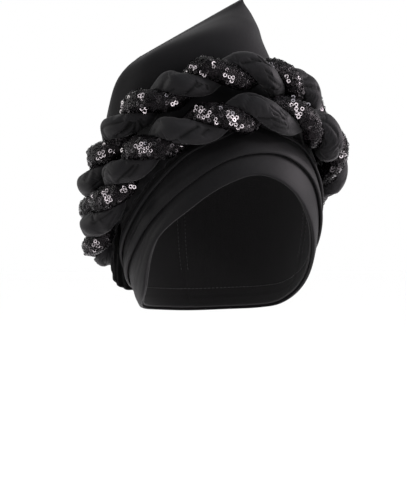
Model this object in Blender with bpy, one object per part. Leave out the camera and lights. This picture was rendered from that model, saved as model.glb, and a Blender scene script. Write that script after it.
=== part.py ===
"""A ready-tied black turban: fitted cap, three brow bands, two twisted ropes and a crown pouch.

The origin is the inside top of the cap, where the top of the head sits.
The face looks along -Y, the wearer's left is +X and up is +Z.
Lengths in the tables are millimetres and are turned into metres when a mesh is made.
"""
import math

import bmesh
import bpy
from mathutils import Vector

MM = 0.001

# Head hollow: half of an egg above the widest line and half of a longer one below it
HEAD_HALF_WIDTH = 75.0
HEAD_HALF_DEPTH = 95.0
HEAD_RISE = 85.0
HEAD_DROP = 128.0
WIDEST_Z = -85.0

# Cloth: walls, the gap between layers, and how far the pouch lies off the head
CAP_WALL = 1.4
LAYER_GAP = 0.8
POUCH_WALL = 1.2
POUCH_REST = 4.6
CAP_RIM_ABOVE_HEM = 3.0

# Band: cloth, padded lower fold, and how it stands on the band below and runs under the next.
# The rounding of the fold is in shares of its thickness and in lengths above the edge line.
BAND_CLOTH = 1.2
BAND_LIFT = 1.8
BAND_OVERLAP = 7.0
FOLD_THICKNESS = 2.4
FOLD_FOOT = 0.35
FOLD_CHEEK = 0.85
FOLD_CHEEK_RISE = 0.8
FOLD_CREST_RISE = 1.0
FOLD_CREST_SHARE = 0.2
FOLD_END_SHARE = 0.6
BAND_TOP_DIP = 0.5

# Faces round and along the pieces
COLUMNS = 36
CAP_ROWS = 8
CAP_PANEL_FACES = 9
ROPE_ROWS_PER_TURN = 12
STRAND_ARC_POINTS = 7

# Panels of the cap, each a quarter turn from its first bearing, and half of the gap at a seam
CAP_PANELS = (
    ("cap_back_right", -180.0),
    ("cap_front_right", -90.0),
    ("cap_front_left", 0.0),
    ("cap_back_left", 90.0),
)
CAP_HALF_SEAM = 0.2

# Edge lines at bearings round the head: 0 is the brow, 90 the left ear, 180 the nape.
# The first four and the pouch's hem are heights; stand is how far that hem is off the head.
EDGE_COLUMNS = ("bearing", "hem", "lower_fold", "upper_fold", "top", "pouch", "stand")
EDGE_LINES = (
    (-180, -176.0, -164.0, -155.0, -149.0, -161.0, 10.5),
    (-150, -175.0, -162.0, -152.0, -146.0, -160.0, 10.5),
    (-120, -173.0, -156.0, -143.5, -136.0, -151.0, 16.5),
    (-100, -169.0, -144.5, -128.0, -114.0, -111.0, 7.0),
    (-80, -156.0, -127.0, -108.0, -96.0, -93.0, 5.0),
    (-60, -119.0, -102.0, -81.0, -71.5, -69.0, 4.6),
    (-40, -97.5, -79.0, -55.0, -48.0, -45.5, 4.6),
    (-20, -78.5, -60.5, -42.0, -35.0, -32.0, 4.6),
    (0, -70.0, -53.5, -32.0, -25.0, -22.0, 4.6),
    (20, -80.0, -56.0, -39.0, -33.0, -30.0, 4.6),
    (40, -104.0, -72.0, -51.0, -45.0, -42.5, 4.6),
    (60, -136.0, -105.0, -84.0, -66.0, -63.0, 4.6),
    (80, -157.0, -129.0, -110.0, -88.0, -85.0, 5.0),
    (100, -169.0, -144.0, -128.0, -105.0, -102.0, 9.0),
    (120, -173.0, -155.0, -142.0, -125.0, -146.0, 10.5),
    (150, -175.0, -162.0, -151.0, -143.0, -159.0, 10.5),
)

# Rings of the pouch from just above its hem to the ridge.
# roll is the rise towards +X and lean the rise towards +Y, both per unit of length.
POUCH_COLUMNS = ("mid_x", "mid_y", "mid_z", "half_width", "front", "back", "roll", "lean")
POUCH_RINGS = (
    (-2.0, 14.0, -86.0, 76.0, 86.0, 84.0, 0.15, -0.78),
    (-4.0, 18.0, -71.0, 75.0, 85.5, 89.0, 0.19, -0.70),
    (-8.5, 23.0, -55.0, 70.0, 85.5, 90.0, 0.19, -0.656),
    (-11.5, 23.0, -39.0, 68.0, 86.0, 89.0, 0.20, -0.60),
    (-16.0, 20.5, -18.5, 65.5, 83.0, 83.5, 0.22, -0.52),
    (-21.5, 16.0, 5.5, 61.5, 71.0, 72.0, 0.30, -0.44),
    (-23.5, 8.0, 23.5, 58.5, 52.0, 52.0, 0.34, -0.385),
    (-24.0, 3.0, 37.5, 52.5, 30.0, 30.0, 0.44, -0.32),
    (-23.0, 0.0, 47.5, 45.0, 10.0, 10.0, 0.54, -0.10),
    (-22.0, 0.0, 50.5, 44.0, 2.5, 2.5, 0.56, 0.0),
)

# Twisted ropes from behind the right ear, over the brow, to behind the left ear.
# A satin strand faces outwards at whole turns and a sequinned one at half turns.
ROPE_COLUMNS = ("x", "y", "z", "radius", "turn")
FRONT_ROPE = (
    (-71.0, 60.0, -136.0, 3.5, -4.05),
    (-91.0, 34.0, -122.5, 11.5, -3.5),
    (-95.0, 10.5, -105.5, 14.6, -3.0),
    (-93.5, -18.5, -85.0, 15.0, -2.5),
    (-88.0, -37.0, -66.5, 15.0, -2.0),
    (-75.3, -58.0, -49.0, 15.0, -1.5),
    (-56.2, -76.5, -37.5, 15.0, -1.0),
    (-27.3, -90.2, -27.5, 15.0, -0.5),
    (1.8, -92.5, -23.0, 15.0, 0.0),
    (38.8, -83.4, -27.0, 15.0, 0.5),
    (64.0, -68.2, -39.0, 15.0, 1.0),
    (81.0, -42.0, -48.5, 14.5, 1.5),
    (91.5, -9.0, -67.5, 13.6, 2.0),
    (89.7, 16.5, -80.0, 11.0, 2.45),
    (84.0, 41.0, -90.0, 8.5, 2.9),
    (70.5, 60.5, -97.0, 3.5, 3.3),
)
REAR_ROPE = (
    (-63.5, 82.0, -121.0, 3.5, -4.2),
    (-78.5, 66.0, -109.0, 9.5, -3.8),
    (-91.0, 41.0, -91.5, 12.8, -3.45),
    (-96.5, 13.0, -73.5, 15.0, -3.0),
    (-94.5, -10.0, -52.0, 15.0, -2.5),
    (-88.5, -31.0, -33.0, 15.0, -2.0),
    (-74.7, -52.0, -15.0, 15.0, -1.5),
    (-53.0, -70.0, -3.0, 15.0, -1.0),
    (-30.7, -81.0, 7.0, 15.0, -0.5),
    (0.0, -84.0, 8.5, 15.0, 0.0),
    (27.5, -75.0, 3.0, 15.0, 0.5),
    (48.3, -58.8, -6.2, 15.0, 1.0),
    (69.2, -30.5, -18.2, 14.6, 1.5),
    (84.0, 0.0, -38.0, 14.3, 2.0),
    (85.0, 29.0, -53.0, 13.5, 2.5),
    (77.0, 54.0, -67.0, 9.5, 2.95),
    (64.5, 71.5, -79.0, 3.5, 3.35),
)
# The ropes are pressed flatter towards a point inside the head.
# Strand sizes are for a rope of unit radius, and the gap between the strands is in mm.
ROPE_HEART = Vector((-3.0, 20.0, -75.0))
ROPE_FLATNESS = 0.88
STRAND_OFFSET = 0.36
STRAND_RADIUS = 0.64
STRAND_HALF_GAP = 0.2


def row(columns, values):
    """Give a table row as a dictionary."""
    return dict(zip(columns, values))


def hermite(x0, y0, m0, x1, y1, m1, x):
    """Cubic through two points with given slopes."""
    h = x1 - x0
    u = (x - x0) / h
    return ((2 * u ** 3 - 3 * u ** 2 + 1) * y0 + (u ** 3 - 2 * u ** 2 + u) * h * m0
            + (3 * u ** 2 - 2 * u ** 3) * y1 + (u ** 3 - u ** 2) * h * m1)


def edge_height(name, bearing):
    """Height of one edge line at a bearing, through the table rows and round the back."""
    column = EDGE_COLUMNS.index(name)
    count = len(EDGE_LINES)
    bearing = (bearing + 180.0) % 360.0 - 180.0

    def knot(i):
        turns, i = divmod(i, count)
        return EDGE_LINES[i][0] + 360.0 * turns, EDGE_LINES[i][column]

    def slope(i):
        (xa, ya), (xb, yb) = knot(i - 1), knot(i + 1)
        return (yb - ya) / (xb - xa)

    i = max(k for k in range(count) if EDGE_LINES[k][0] <= bearing)
    (x0, y0), (x1, y1) = knot(i), knot(i + 1)
    return hermite(x0, y0, slope(i), x1, y1, slope(i + 1), bearing)


def on_head(bearing, latitude, offset):
    """Point at a bearing and a latitude in radians, off the head by a distance."""
    rise = (HEAD_RISE if latitude >= 0 else HEAD_DROP) + offset
    turn = math.radians(bearing)
    ring = math.cos(latitude)
    return Vector(((HEAD_HALF_WIDTH + offset) * ring * math.sin(turn),
                   -(HEAD_HALF_DEPTH + offset) * ring * math.cos(turn),
                   WIDEST_Z + rise * math.sin(latitude)))


def latitude_at(z, offset):
    """Latitude in radians of a height on the offset head."""
    rise = (HEAD_RISE if z >= WIDEST_Z else HEAD_DROP) + offset
    return math.asin(max(-1.0, min(1.0, (z - WIDEST_Z) / rise)))


def at_height(bearing, z, offset):
    """Point on the offset head at a bearing and height."""
    return on_head(bearing, latitude_at(z, offset), offset)


def bearings():
    """Bearings of the columns round the head."""
    return [-180.0 + 360.0 * i / COLUMNS for i in range(COLUMNS)]


def lattice_faces(rows, columns):
    """Quads between rings of equal count that close round."""
    faces = []
    for r in range(rows - 1):
        for c in range(columns):
            d = (c + 1) % columns
            faces.append((r * columns + c, r * columns + d,
                          (r + 1) * columns + d, (r + 1) * columns + c))
    return faces


def add_solid(name, points, faces, material):
    """Make one closed outward-facing object from points in millimetres."""
    mesh = bpy.data.meshes.new(name)
    mesh.from_pydata([p * MM for p in points], [], faces)
    bm = bmesh.new()
    bm.from_mesh(mesh)
    bmesh.ops.recalc_face_normals(bm, faces=bm.faces)
    bmesh.ops.triangulate(bm, faces=bm.faces)
    bm.to_mesh(mesh)
    bm.free()
    mesh.polygons.foreach_set("use_smooth", [True] * len(mesh.polygons))
    mesh.materials.append(material)
    obj = bpy.data.objects.new(name, mesh)
    bpy.context.collection.objects.link(obj)
    return obj


def cloth(name, colour, roughness, metallic):
    """Plain Principled material."""
    material = bpy.data.materials.new(name)
    material.use_nodes = True
    shader = material.node_tree.nodes["Principled BSDF"]
    shader.inputs["Base Color"].default_value = (*colour, 1.0)
    shader.inputs["Roughness"].default_value = roughness
    shader.inputs["Metallic"].default_value = metallic
    material.diffuse_color = (*colour, 1.0)
    return material


# Inner cap: four panels that meet in seams over the brow, the ears and the nape
def make_cap_panel(name, first_bearing, material):
    """Quarter of the dome, from a rim just inside the hem up to the top of the head."""
    columns = [first_bearing + 90.0 * i / CAP_PANEL_FACES for i in range(CAP_PANEL_FACES + 1)]
    middle = math.radians(first_bearing + 45.0)
    apart = Vector((math.copysign(CAP_HALF_SEAM, math.sin(middle)),
                    math.copysign(CAP_HALF_SEAM, -math.cos(middle)), 0.0))
    points = []
    for offset in (CAP_WALL - CAP_HALF_SEAM, 0.0):
        for r in range(CAP_ROWS):
            share = math.sin(0.5 * math.pi * r / CAP_ROWS)
            for bearing in columns:
                rim = latitude_at(edge_height("hem", bearing) + CAP_RIM_ABOVE_HEM, offset)
                latitude = rim + (0.5 * math.pi - rim) * share
                points.append(on_head(bearing, latitude, offset) + apart)
        points.append(on_head(first_bearing, 0.5 * math.pi, offset) + apart)
    wide = len(columns)
    shell = CAP_ROWS * wide + 1
    top = shell - 1
    faces = []
    for r in range(CAP_ROWS):
        for c in range(CAP_PANEL_FACES):
            a = r * wide + c
            face = (a, a + 1, a + wide + 1, a + wide) if r < CAP_ROWS - 1 else (a, a + 1, top)
            faces.append(face)
            faces.append(tuple(shell + v for v in reversed(face)))
    border = list(range(wide))
    border += [r * wide + wide - 1 for r in range(1, CAP_ROWS)] + [top]
    border += [r * wide for r in reversed(range(1, CAP_ROWS))]
    for here, ahead in zip(border, border[1:] + border[:1]):
        faces.append((ahead, here, shell + here, shell + ahead))
    return add_solid(name, points, faces, material)


# Brow bands
def band_profile(below, above, lift):
    """Cross-section of a band: share of its visible height, extra height in mm, and offset.

    The lower edge is a soft fold. It stands on the band below by lift over the length below,
    and the top runs on under the next band over the length above.
    """
    seat = CAP_WALL + LAYER_GAP
    low = seat + lift
    crest = low + FOLD_THICKNESS
    thin = seat + BAND_CLOTH
    return (
        (0.0, 0.0, low + FOLD_FOOT * FOLD_THICKNESS),
        (0.0, FOLD_CHEEK_RISE, low + FOLD_CHEEK * FOLD_THICKNESS),
        (FOLD_CREST_SHARE, FOLD_CREST_RISE, crest),
        (FOLD_END_SHARE, 0.0, 0.5 * (crest + thin)),
        (1.0, -BAND_TOP_DIP, thin),
        (1.0, above, thin),
        (1.0, above, seat),
        (0.0, below + FOLD_CREST_RISE, low) if lift else (0.5, 0.0, seat),
        (0.0, FOLD_CREST_RISE, low),
    )


def make_band(name, edges, lift, material):
    """Band over one edge line: edges are its lower, own upper and the next band's upper line."""
    points = []
    for bearing in bearings():
        low, high, beyond = (edge_height(e, bearing) for e in edges)
        below = min(BAND_OVERLAP, 0.5 * (high - low)) if lift else 0.0
        above = min(BAND_OVERLAP, 0.5 * (beyond - high))
        for share, extra, offset in band_profile(below, above, lift):
            points.append(at_height(bearing, low + (high - low) * share + extra, offset))
    count = len(points) // COLUMNS
    faces = []
    for c in range(COLUMNS):
        d = (c + 1) % COLUMNS
        for k in range(count):
            m = (k + 1) % count
            faces.append((c * count + k, d * count + k, d * count + m, c * count + m))
    return add_solid(name, points, faces, material)


# Crown pouch
def rest_on_head(point):
    """Move a point of the pouch out to where the cloth rests on the cap."""
    half_width = HEAD_HALF_WIDTH + POUCH_REST
    half_depth = HEAD_HALF_DEPTH + POUCH_REST
    rise = (HEAD_RISE if point.z >= WIDEST_Z else HEAD_DROP) + POUCH_REST
    heart = Vector((0.0, 0.0, WIDEST_Z))
    arm = point - heart
    reach = Vector((arm.x / half_width, arm.y / half_depth, arm.z / rise)).length
    return heart + arm / reach if reach < 1.0 else point


def pouch_point(ring, bearing):
    """Point of a ring, whose front and back halves have their own depth."""
    turn = math.radians(bearing)
    across = ring["half_width"] * math.sin(turn)
    depth = ring["front"] if math.cos(turn) > 0 else ring["back"]
    along = -depth * math.cos(turn)
    return rest_on_head(Vector((
        ring["mid_x"] + across, ring["mid_y"] + along,
        ring["mid_z"] + ring["roll"] * across + ring["lean"] * along)))


def make_crown_pouch(material):
    """Soft bag, open below, that narrows from a round hem to a straight slanting ridge."""
    outer = [[at_height(b, edge_height("pouch", b), edge_height("stand", b)) for b in bearings()]]
    for values in POUCH_RINGS:
        ring = row(POUCH_COLUMNS, values)
        outer.append([pouch_point(ring, b) for b in bearings()])
    inner = []
    for r in range(len(outer) - 1):
        inner.append([])
        for c in range(COLUMNS):
            below = outer[max(r - 1, 0)][c]
            above = outer[r + 1][c]
            before = outer[r][c - 1]
            after = outer[r][(c + 1) % COLUMNS]
            normal = (after - before).cross(above - below).normalized()
            inner[r].append(outer[r][c] - normal * POUCH_WALL)
    points = [p for ring in outer + inner for p in ring]
    shell = len(outer) * COLUMNS
    faces = lattice_faces(len(outer), COLUMNS)
    faces += [tuple(shell + v for v in reversed(f)) for f in lattice_faces(len(inner), COLUMNS)]
    for c in range(COLUMNS):
        d = (c + 1) % COLUMNS
        faces.append((shell + c, shell + d, d, c))
    faces.append(tuple(shell - COLUMNS + c for c in range(COLUMNS)))
    faces.append(tuple(len(points) - 1 - c for c in range(COLUMNS)))
    return add_solid("crown_pouch", points, faces, material)


# Twisted ropes
def rope_at(rope, place):
    """Values of every rope column at a place counted in table rows."""
    i = min(int(place), len(rope) - 2)
    u = place - i
    before, start, end, after = (rope[max(0, min(k, len(rope) - 1))] for k in range(i - 1, i + 3))
    return [hermite(0.0, start[c], 0.5 * (end[c] - before[c]), 1.0, end[c],
                    0.5 * (after[c] - start[c]), u) for c in range(len(ROPE_COLUMNS))]


def rope_stations(rope):
    """Stations at even turns along a rope: centre, outward and side directions, size, turn."""
    fine = 40 * (len(rope) - 1)
    places = [(len(rope) - 1) * i / fine for i in range(fine + 1)]
    turns = [rope_at(rope, p)[4] for p in places]
    count = round((turns[-1] - turns[0]) * ROPE_ROWS_PER_TURN)
    stations = []
    k = 0
    for i in range(count + 1):
        turn = turns[0] + (turns[-1] - turns[0]) * i / count
        while k < fine - 1 and turns[k + 1] < turn:
            k += 1
        share = (turn - turns[k]) / (turns[k + 1] - turns[k])
        place = places[k] + (places[k + 1] - places[k]) * min(max(share, 0.0), 1.0)
        x, y, z, size, _ = rope_at(rope, place)
        centre = Vector((x, y, z))
        ahead = Vector(rope_at(rope, min(place + 0.01, len(rope) - 1.0))[:3])
        behind = Vector(rope_at(rope, max(place - 0.01, 0.0))[:3])
        tangent = (ahead - behind).normalized()
        outward = centre - ROPE_HEART
        outward = (outward - tangent * outward.dot(tangent)).normalized()
        stations.append((centre, outward, tangent.cross(outward), size, turn))
    return stations


def strand_section():
    """D-shaped section for a rope of unit radius: flat side through the rope's axis."""
    edge = math.sqrt(STRAND_RADIUS ** 2 - STRAND_OFFSET ** 2)
    arc = math.atan2(edge, -STRAND_OFFSET)
    section = [(0.0, 0.0)]
    for k in range(STRAND_ARC_POINTS + 1):
        angle = -arc + 2.0 * arc * k / STRAND_ARC_POINTS
        section.append((STRAND_OFFSET + STRAND_RADIUS * math.cos(angle),
                        STRAND_RADIUS * math.sin(angle)))
    return section


def make_strand(name, rope, half_turn, material):
    """One of the two strands that turn about each other along a rope."""
    section = strand_section()
    count = len(section)
    stations = rope_stations(rope)
    points = []
    for centre, outward, side, size, turn in stations:
        angle = 2.0 * math.pi * (turn - 0.5 * half_turn)
        for u, v in section:
            main = u * size + STRAND_HALF_GAP
            out = main * math.cos(angle) - v * size * math.sin(angle)
            across = main * math.sin(angle) + v * size * math.cos(angle)
            points.append(centre + outward * (ROPE_FLATNESS * out) + side * across)
    faces = []
    for r in range(len(stations) - 1):
        a = r * count
        b = a + count
        # The flat side turns like a stair, so it is cut towards the axis in both strands alike
        faces += [(a, b + 1, b), (a, a + 1, b + 1)]
        faces += [(a, b, b + count - 1), (a, b + count - 1, a + count - 1)]
        for k in range(1, count - 1):
            faces.append((a + k, a + k + 1, b + k + 1, b + k))
    end = (len(stations) - 1) * count
    faces.append(tuple(range(count)))
    faces.append(tuple(end + k for k in reversed(range(count))))
    return add_solid(name, points, faces, material)


def main():
    """Build every piece of the turban."""
    for obj in list(bpy.data.objects):
        bpy.data.objects.remove(obj, do_unlink=True)
    satin = cloth("black_satin", (0.012, 0.012, 0.013), 0.45, 0.0)
    jersey = cloth("black_cap_cloth", (0.010, 0.010, 0.011), 0.75, 0.0)
    sequins = cloth("black_sequin_cloth", (0.020, 0.018, 0.019), 0.25, 0.4)
    for name, first_bearing in CAP_PANELS:
        make_cap_panel(name, first_bearing, jersey)
    make_band("brow_band", ("hem", "lower_fold", "upper_fold"), 0.0, satin)
    make_band("middle_band", ("lower_fold", "upper_fold", "top"), BAND_LIFT, satin)
    make_band("upper_band", ("upper_fold", "top", "top"), BAND_LIFT, satin)
    make_crown_pouch(satin)
    for name, rope in (("front_rope", FRONT_ROPE), ("rear_rope", REAR_ROPE)):
        make_strand(name + "_satin", rope, 0, satin)
        make_strand(name + "_sequin", rope, 1, sequins)


main()
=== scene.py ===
# %% [markdown]
# # A ready-tied turban in black satin and sequins
#
# This lesson dresses a plain model of a turban in finely made cloth. The plain model gives the
# place and size of every piece. Here each piece is made again with its folds, creases, stitches
# and sequins, and the plain one is hidden behind it.
#
# We start by loading the plain model, because the dressed turban has to fill nearly the same
# box as the plain one.

import math

import bpy
import numpy as np
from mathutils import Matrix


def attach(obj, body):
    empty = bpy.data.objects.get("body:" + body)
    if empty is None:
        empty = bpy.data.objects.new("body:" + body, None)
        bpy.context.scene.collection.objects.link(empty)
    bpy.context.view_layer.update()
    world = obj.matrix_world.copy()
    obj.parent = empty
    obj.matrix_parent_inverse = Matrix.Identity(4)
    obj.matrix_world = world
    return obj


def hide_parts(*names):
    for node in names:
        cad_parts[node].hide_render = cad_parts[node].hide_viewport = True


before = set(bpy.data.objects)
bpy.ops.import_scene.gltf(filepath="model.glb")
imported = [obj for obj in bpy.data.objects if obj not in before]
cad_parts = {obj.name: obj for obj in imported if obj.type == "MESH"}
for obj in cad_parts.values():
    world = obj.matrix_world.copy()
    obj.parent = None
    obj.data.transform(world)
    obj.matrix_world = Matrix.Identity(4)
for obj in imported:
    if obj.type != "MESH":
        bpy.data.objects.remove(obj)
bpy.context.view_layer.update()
print("plain pieces:", sorted(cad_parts))

# %% [markdown]
# ## Small helpers
#
# Four short steps come back in many cells, so they get names first: directions of length one,
# the running length of a line of points, the rows of a table by column name, and putting an
# object into the scene.

# %% Helpers
def unit(vectors):
    """The same directions with length one."""
    return vectors / np.linalg.norm(vectors, axis=-1, keepdims=True)


def running_length(points):
    """Length of a line of points from its start to each of them."""
    return np.concatenate([[0.0], np.cumsum(np.linalg.norm(np.diff(points, axis=0), axis=1))])


def rows_of(columns, table):
    """Rows of a table, each with its values under their column names."""
    return [dict(zip(columns, values)) for values in table]


def add_object(name, data):
    """Put a new object into the scene."""
    piece = bpy.data.objects.new(name, data)
    bpy.context.collection.objects.link(piece)
    return piece


print("(3, 4) with length one:", unit(np.array([3.0, 4.0])))

# %% [markdown]
# ## The head that the cloth is wrapped on
#
# A turban has the shape of the head under it. We never build that head, but we need it as a
# measuring form: half of an egg above its widest line, and half of a longer one below.
#
# A place on it is a bearing round the head (0 is the brow, 90 the left ear, 180 the nape) and a
# latitude. Adding an offset to all its radii gives the surface that the first, second or third
# layer of cloth lies on. Working in millimetres keeps the numbers readable. They become metres
# only when a mesh is made.

# %% The head form
MM = 0.001
HEAD_HALF_WIDTH = 75.0
HEAD_HALF_DEPTH = 95.0
HEAD_RISE = 85.0
HEAD_DROP = 128.0
WIDEST_Z = -85.0


def on_head(bearing, latitude, offset):
    """Points on the head form, offset outwards. Bearings in degrees, latitudes in radians."""
    bearing, latitude, offset = np.broadcast_arrays(bearing, latitude, offset)
    turn = np.radians(bearing)
    ring = np.cos(latitude)
    rise = np.where(latitude >= 0, HEAD_RISE, HEAD_DROP) + offset
    return np.stack([(HEAD_HALF_WIDTH + offset) * ring * np.sin(turn),
                     -(HEAD_HALF_DEPTH + offset) * ring * np.cos(turn),
                     WIDEST_Z + rise * np.sin(latitude)], axis=-1)


def latitude_at(height, offset):
    """Latitude in radians where the offset head form has a height."""
    rise = np.where(np.asarray(height) >= WIDEST_Z, HEAD_RISE, HEAD_DROP) + offset
    return np.arcsin(np.clip((height - WIDEST_Z) / rise, -1.0, 1.0))


def at_height(bearing, height, offset):
    """Points on the offset head form at bearings and heights."""
    return on_head(bearing, latitude_at(height, offset), offset)


# %% [markdown]
# ## Edge lines
#
# The bands lie on the brow like the pages of a fanned book. What the eye reads is where each
# fold runs, so those lines are the table that a maker would chalk on the head: heights of the
# hem, of the two folds, of the top band's upper edge and of the pouch's hem, every 20 to 30
# degrees round the head. The last column says how far the pouch's hem stands off the head.
#
# Over the brow, most heights of the hem and of the two folds were not chosen by hand. A helper
# script worked them out from pixels of the photograph that were picked by eye, and they were
# then rounded.
#
# A smooth curve through the rows gives the height at any bearing. A cubic through points with
# the slope of their neighbours is enough, and it never needs solving.

# %% Edge lines and a smooth curve through them
EDGE_COLUMNS = ("bearing", "hem", "lower_fold", "upper_fold", "top", "pouch", "stand")
EDGE_LINES = (
    (-180, -176.0, -164.0, -155.0, -149.0, -161.0, 10.5),
    (-150, -175.0, -162.0, -152.0, -146.0, -160.0, 10.5),
    (-120, -173.0, -156.0, -143.5, -136.0, -151.0, 16.5),
    (-100, -169.0, -144.5, -128.0, -114.0, -111.0, 7.0),
    (-80, -156.0, -127.0, -108.0, -96.0, -93.0, 5.0),
    (-60, -119.0, -102.0, -81.0, -71.5, -69.0, 4.6),
    (-40, -97.5, -79.0, -55.0, -48.0, -45.5, 4.6),
    (-20, -78.5, -60.5, -42.0, -35.0, -32.0, 4.6),
    (0, -70.0, -53.5, -32.0, -25.0, -22.0, 4.6),
    (20, -80.0, -56.0, -39.0, -33.0, -30.0, 4.6),
    (40, -104.0, -72.0, -51.0, -45.0, -42.5, 4.6),
    (60, -136.0, -105.0, -84.0, -66.0, -63.0, 4.6),
    (80, -157.0, -129.0, -110.0, -88.0, -85.0, 5.0),
    (100, -169.0, -144.0, -128.0, -105.0, -102.0, 9.0),
    (120, -173.0, -155.0, -142.0, -125.0, -146.0, 10.5),
    (150, -175.0, -162.0, -151.0, -143.0, -159.0, 10.5),
)


def smooth_curve(knots, values, where):
    """Cubic through knots, which have one spare knot at each end to give the end slopes."""
    knots, values, where = (np.asarray(a, float) for a in (knots, values, where))
    i = np.clip(np.searchsorted(knots, where, side="right") - 1, 1, len(knots) - 3)
    wide = where.shape + (1,) * (values.ndim - 1)
    step = (knots[i + 1] - knots[i]).reshape(wide)
    u = (where - knots[i]).reshape(wide) / step
    slope_in = (values[i + 1] - values[i - 1]) / (knots[i + 1] - knots[i - 1]).reshape(wide)
    slope_out = (values[i + 2] - values[i]) / (knots[i + 2] - knots[i]).reshape(wide)
    return ((2 * u ** 3 - 3 * u ** 2 + 1) * values[i] + (u ** 3 - 2 * u ** 2 + u) * step * slope_in
            + (3 * u ** 2 - 2 * u ** 3) * values[i + 1] + (u ** 3 - u ** 2) * step * slope_out)


def edge(name, bearing):
    """One column of the table of edge lines at any bearings."""
    table = np.array(EDGE_LINES)
    column = EDGE_COLUMNS.index(name)
    bearing = (np.asarray(bearing, float) + 180.0) % 360.0 - 180.0
    knots = np.concatenate([table[-2:, 0] - 360.0, table[:, 0], table[:2, 0] + 360.0])
    values = np.concatenate([table[-2:, column], table[:, column], table[:2, column]])
    return smooth_curve(knots, values, bearing)


print("hem over the brow: %.0f mm, at the nape: %.0f mm" % (edge("hem", 0.0), edge("hem", 180.0)))

# %% [markdown]
# ## Building one mesh from a grid of points
#
# Every piece of cloth here is a grid: rows of points with quads between them, closed round one
# way or both. One helper turns such a grid into an object, so the cells that follow can think
# about cloth only.
#
# The helper also lays out UVs in centimetres of cloth. A weave has to have one size everywhere
# on the turban, and a UV that counts centimetres gives it that.

# %% Grid to mesh
CLOTH_UNIT = 10.0


def grid_faces(rows, columns, close_rows, close_columns, first=0):
    """Quads of a grid of points, as arrays of four point numbers."""
    r = np.arange(rows if close_rows else rows - 1)
    c = np.arange(columns if close_columns else columns - 1)
    r, c = (a.ravel() for a in np.meshgrid(r, c, indexing="ij"))
    s, d = (r + 1) % rows, (c + 1) % columns
    return first + np.stack([r * columns + c, r * columns + d, s * columns + d, s * columns + c],
                            axis=1)


def unroll(points):
    """Running lengths along and across a grid of points, in centimetres, for the UVs."""
    along = np.linalg.norm(np.diff(points, axis=0), axis=2).mean(axis=1)
    across = np.linalg.norm(np.diff(points, axis=1), axis=2).mean(axis=0)
    u = np.concatenate([[0.0], np.cumsum(along)]) / CLOTH_UNIT
    v = np.concatenate([[0.0], np.cumsum(across)]) / CLOTH_UNIT
    return u, v


def cloth_object(name, points, material, close_rows=False, close_columns=True, caps=False,
                 crease=None):
    """Make a smooth object from a grid of points in millimetres. Crease is the painted shade, 0 to 1 at
    each point.
    """
    rows, columns = points.shape[:2]
    faces = [tuple(int(k) for k in f) for f in grid_faces(rows, columns, close_rows, close_columns)]
    u, v = unroll(points)
    step_u = u[-1] / max(rows - 1, 1)
    step_v = v[-1] / max(columns - 1, 1)
    u = np.append(u, u[-1] + step_u)
    v = np.append(v, v[-1] + step_v)
    corners = []
    for r in range(rows if close_rows else rows - 1):
        for c in range(columns if close_columns else columns - 1):
            corners += [(u[r], v[c]), (u[r], v[c + 1]), (u[r + 1], v[c + 1]), (u[r + 1], v[c])]
    vertices = points.reshape(-1, 3)
    if caps:
        first, last = len(vertices), len(vertices) + 1
        vertices = np.concatenate([vertices, [points[0].mean(axis=0), points[-1].mean(axis=0)]])
        end = (rows - 1) * columns
        for c in range(columns):
            d = (c + 1) % columns
            faces.append((d, c, first))
            faces.append((end + c, end + d, last))
            corners += [(u[0], v[c]), (u[0], v[c + 1]), (u[0], v[c])]
            corners += [(u[-1], v[c]), (u[-1], v[c + 1]), (u[-1], v[c])]
    mesh = bpy.data.meshes.new(name)
    mesh.from_pydata((vertices * MM).tolist(), [], faces)
    layer = mesh.uv_layers.new(name="cloth_cm")
    layer.data.foreach_set("uv", np.array(corners, dtype=np.float32).ravel())
    mesh.polygons.foreach_set("use_smooth", [True] * len(mesh.polygons))
    mesh.materials.append(material)
    # The crease attribute is painted shade: it darkens the satin's base colour in crease valleys.
    if crease is not None:
        depth = np.zeros(len(vertices), dtype=np.float32)
        depth[:crease.size] = crease.ravel()
        mesh.attributes.new("crease", "FLOAT", "POINT").data.foreach_set("value", depth)
    mesh.update()
    return add_object(name, mesh)


# %% [markdown]
# ## Cloth materials
#
# Black satin is not a flat black. Its threads run mostly one way, so it has a soft sheen, and
# up close there are fine ribs of weave. The turban's satin is padded and handled, so its tone
# and its gloss also drift a little from place to place.
#
# The weave is two sets of fine waves on the UVs, one for the warp and a weaker one for the weft.
# They only bend the light, through a Bump node. Two noises, one broad and one fine, shift the
# base colour and the roughness between two close values. These are procedural, so they stay
# sharp at any distance. A crease value stored on the mesh also mixes the base colour towards
# near black in crease valleys: that is painted shade.
#
# Very dark cloth is mostly seen by what it mirrors. That is why its specular level is low: at
# the usual 0.5 a white studio turns any black into grey.

# %% Shared material tools
def new_material(name, **values):
    """Principled material with plain values set straight on the shader's sockets."""
    material = bpy.data.materials.new(name)
    material.use_nodes = True
    shader = material.node_tree.nodes["Principled BSDF"]
    for socket, value in values.items():
        socket = socket.replace("_", " ")
        shader.inputs[socket].default_value = value
    return material, material.node_tree, shader


def add_node(tree, kind, **settings):
    """Add a node. Settings are its properties or, where there is no such property, its sockets."""
    node = tree.nodes.new(kind)
    for key, value in settings.items():
        if hasattr(node, key):
            setattr(node, key, value)
        else:
            node.inputs[key.replace("_", " ")].default_value = value
    return node


def two_colours(tree, factor, dark, light, low=0.35, high=0.65):
    """Colour ramp from dark to light, driven by a factor."""
    ramp = add_node(tree, "ShaderNodeValToRGB")
    ramp.color_ramp.elements[0].position = low
    ramp.color_ramp.elements[1].position = high
    ramp.color_ramp.elements[0].color = (*dark, 1.0)
    ramp.color_ramp.elements[1].color = (*light, 1.0)
    tree.links.new(factor, ramp.inputs["Fac"])
    return ramp.outputs["Color"]


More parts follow.
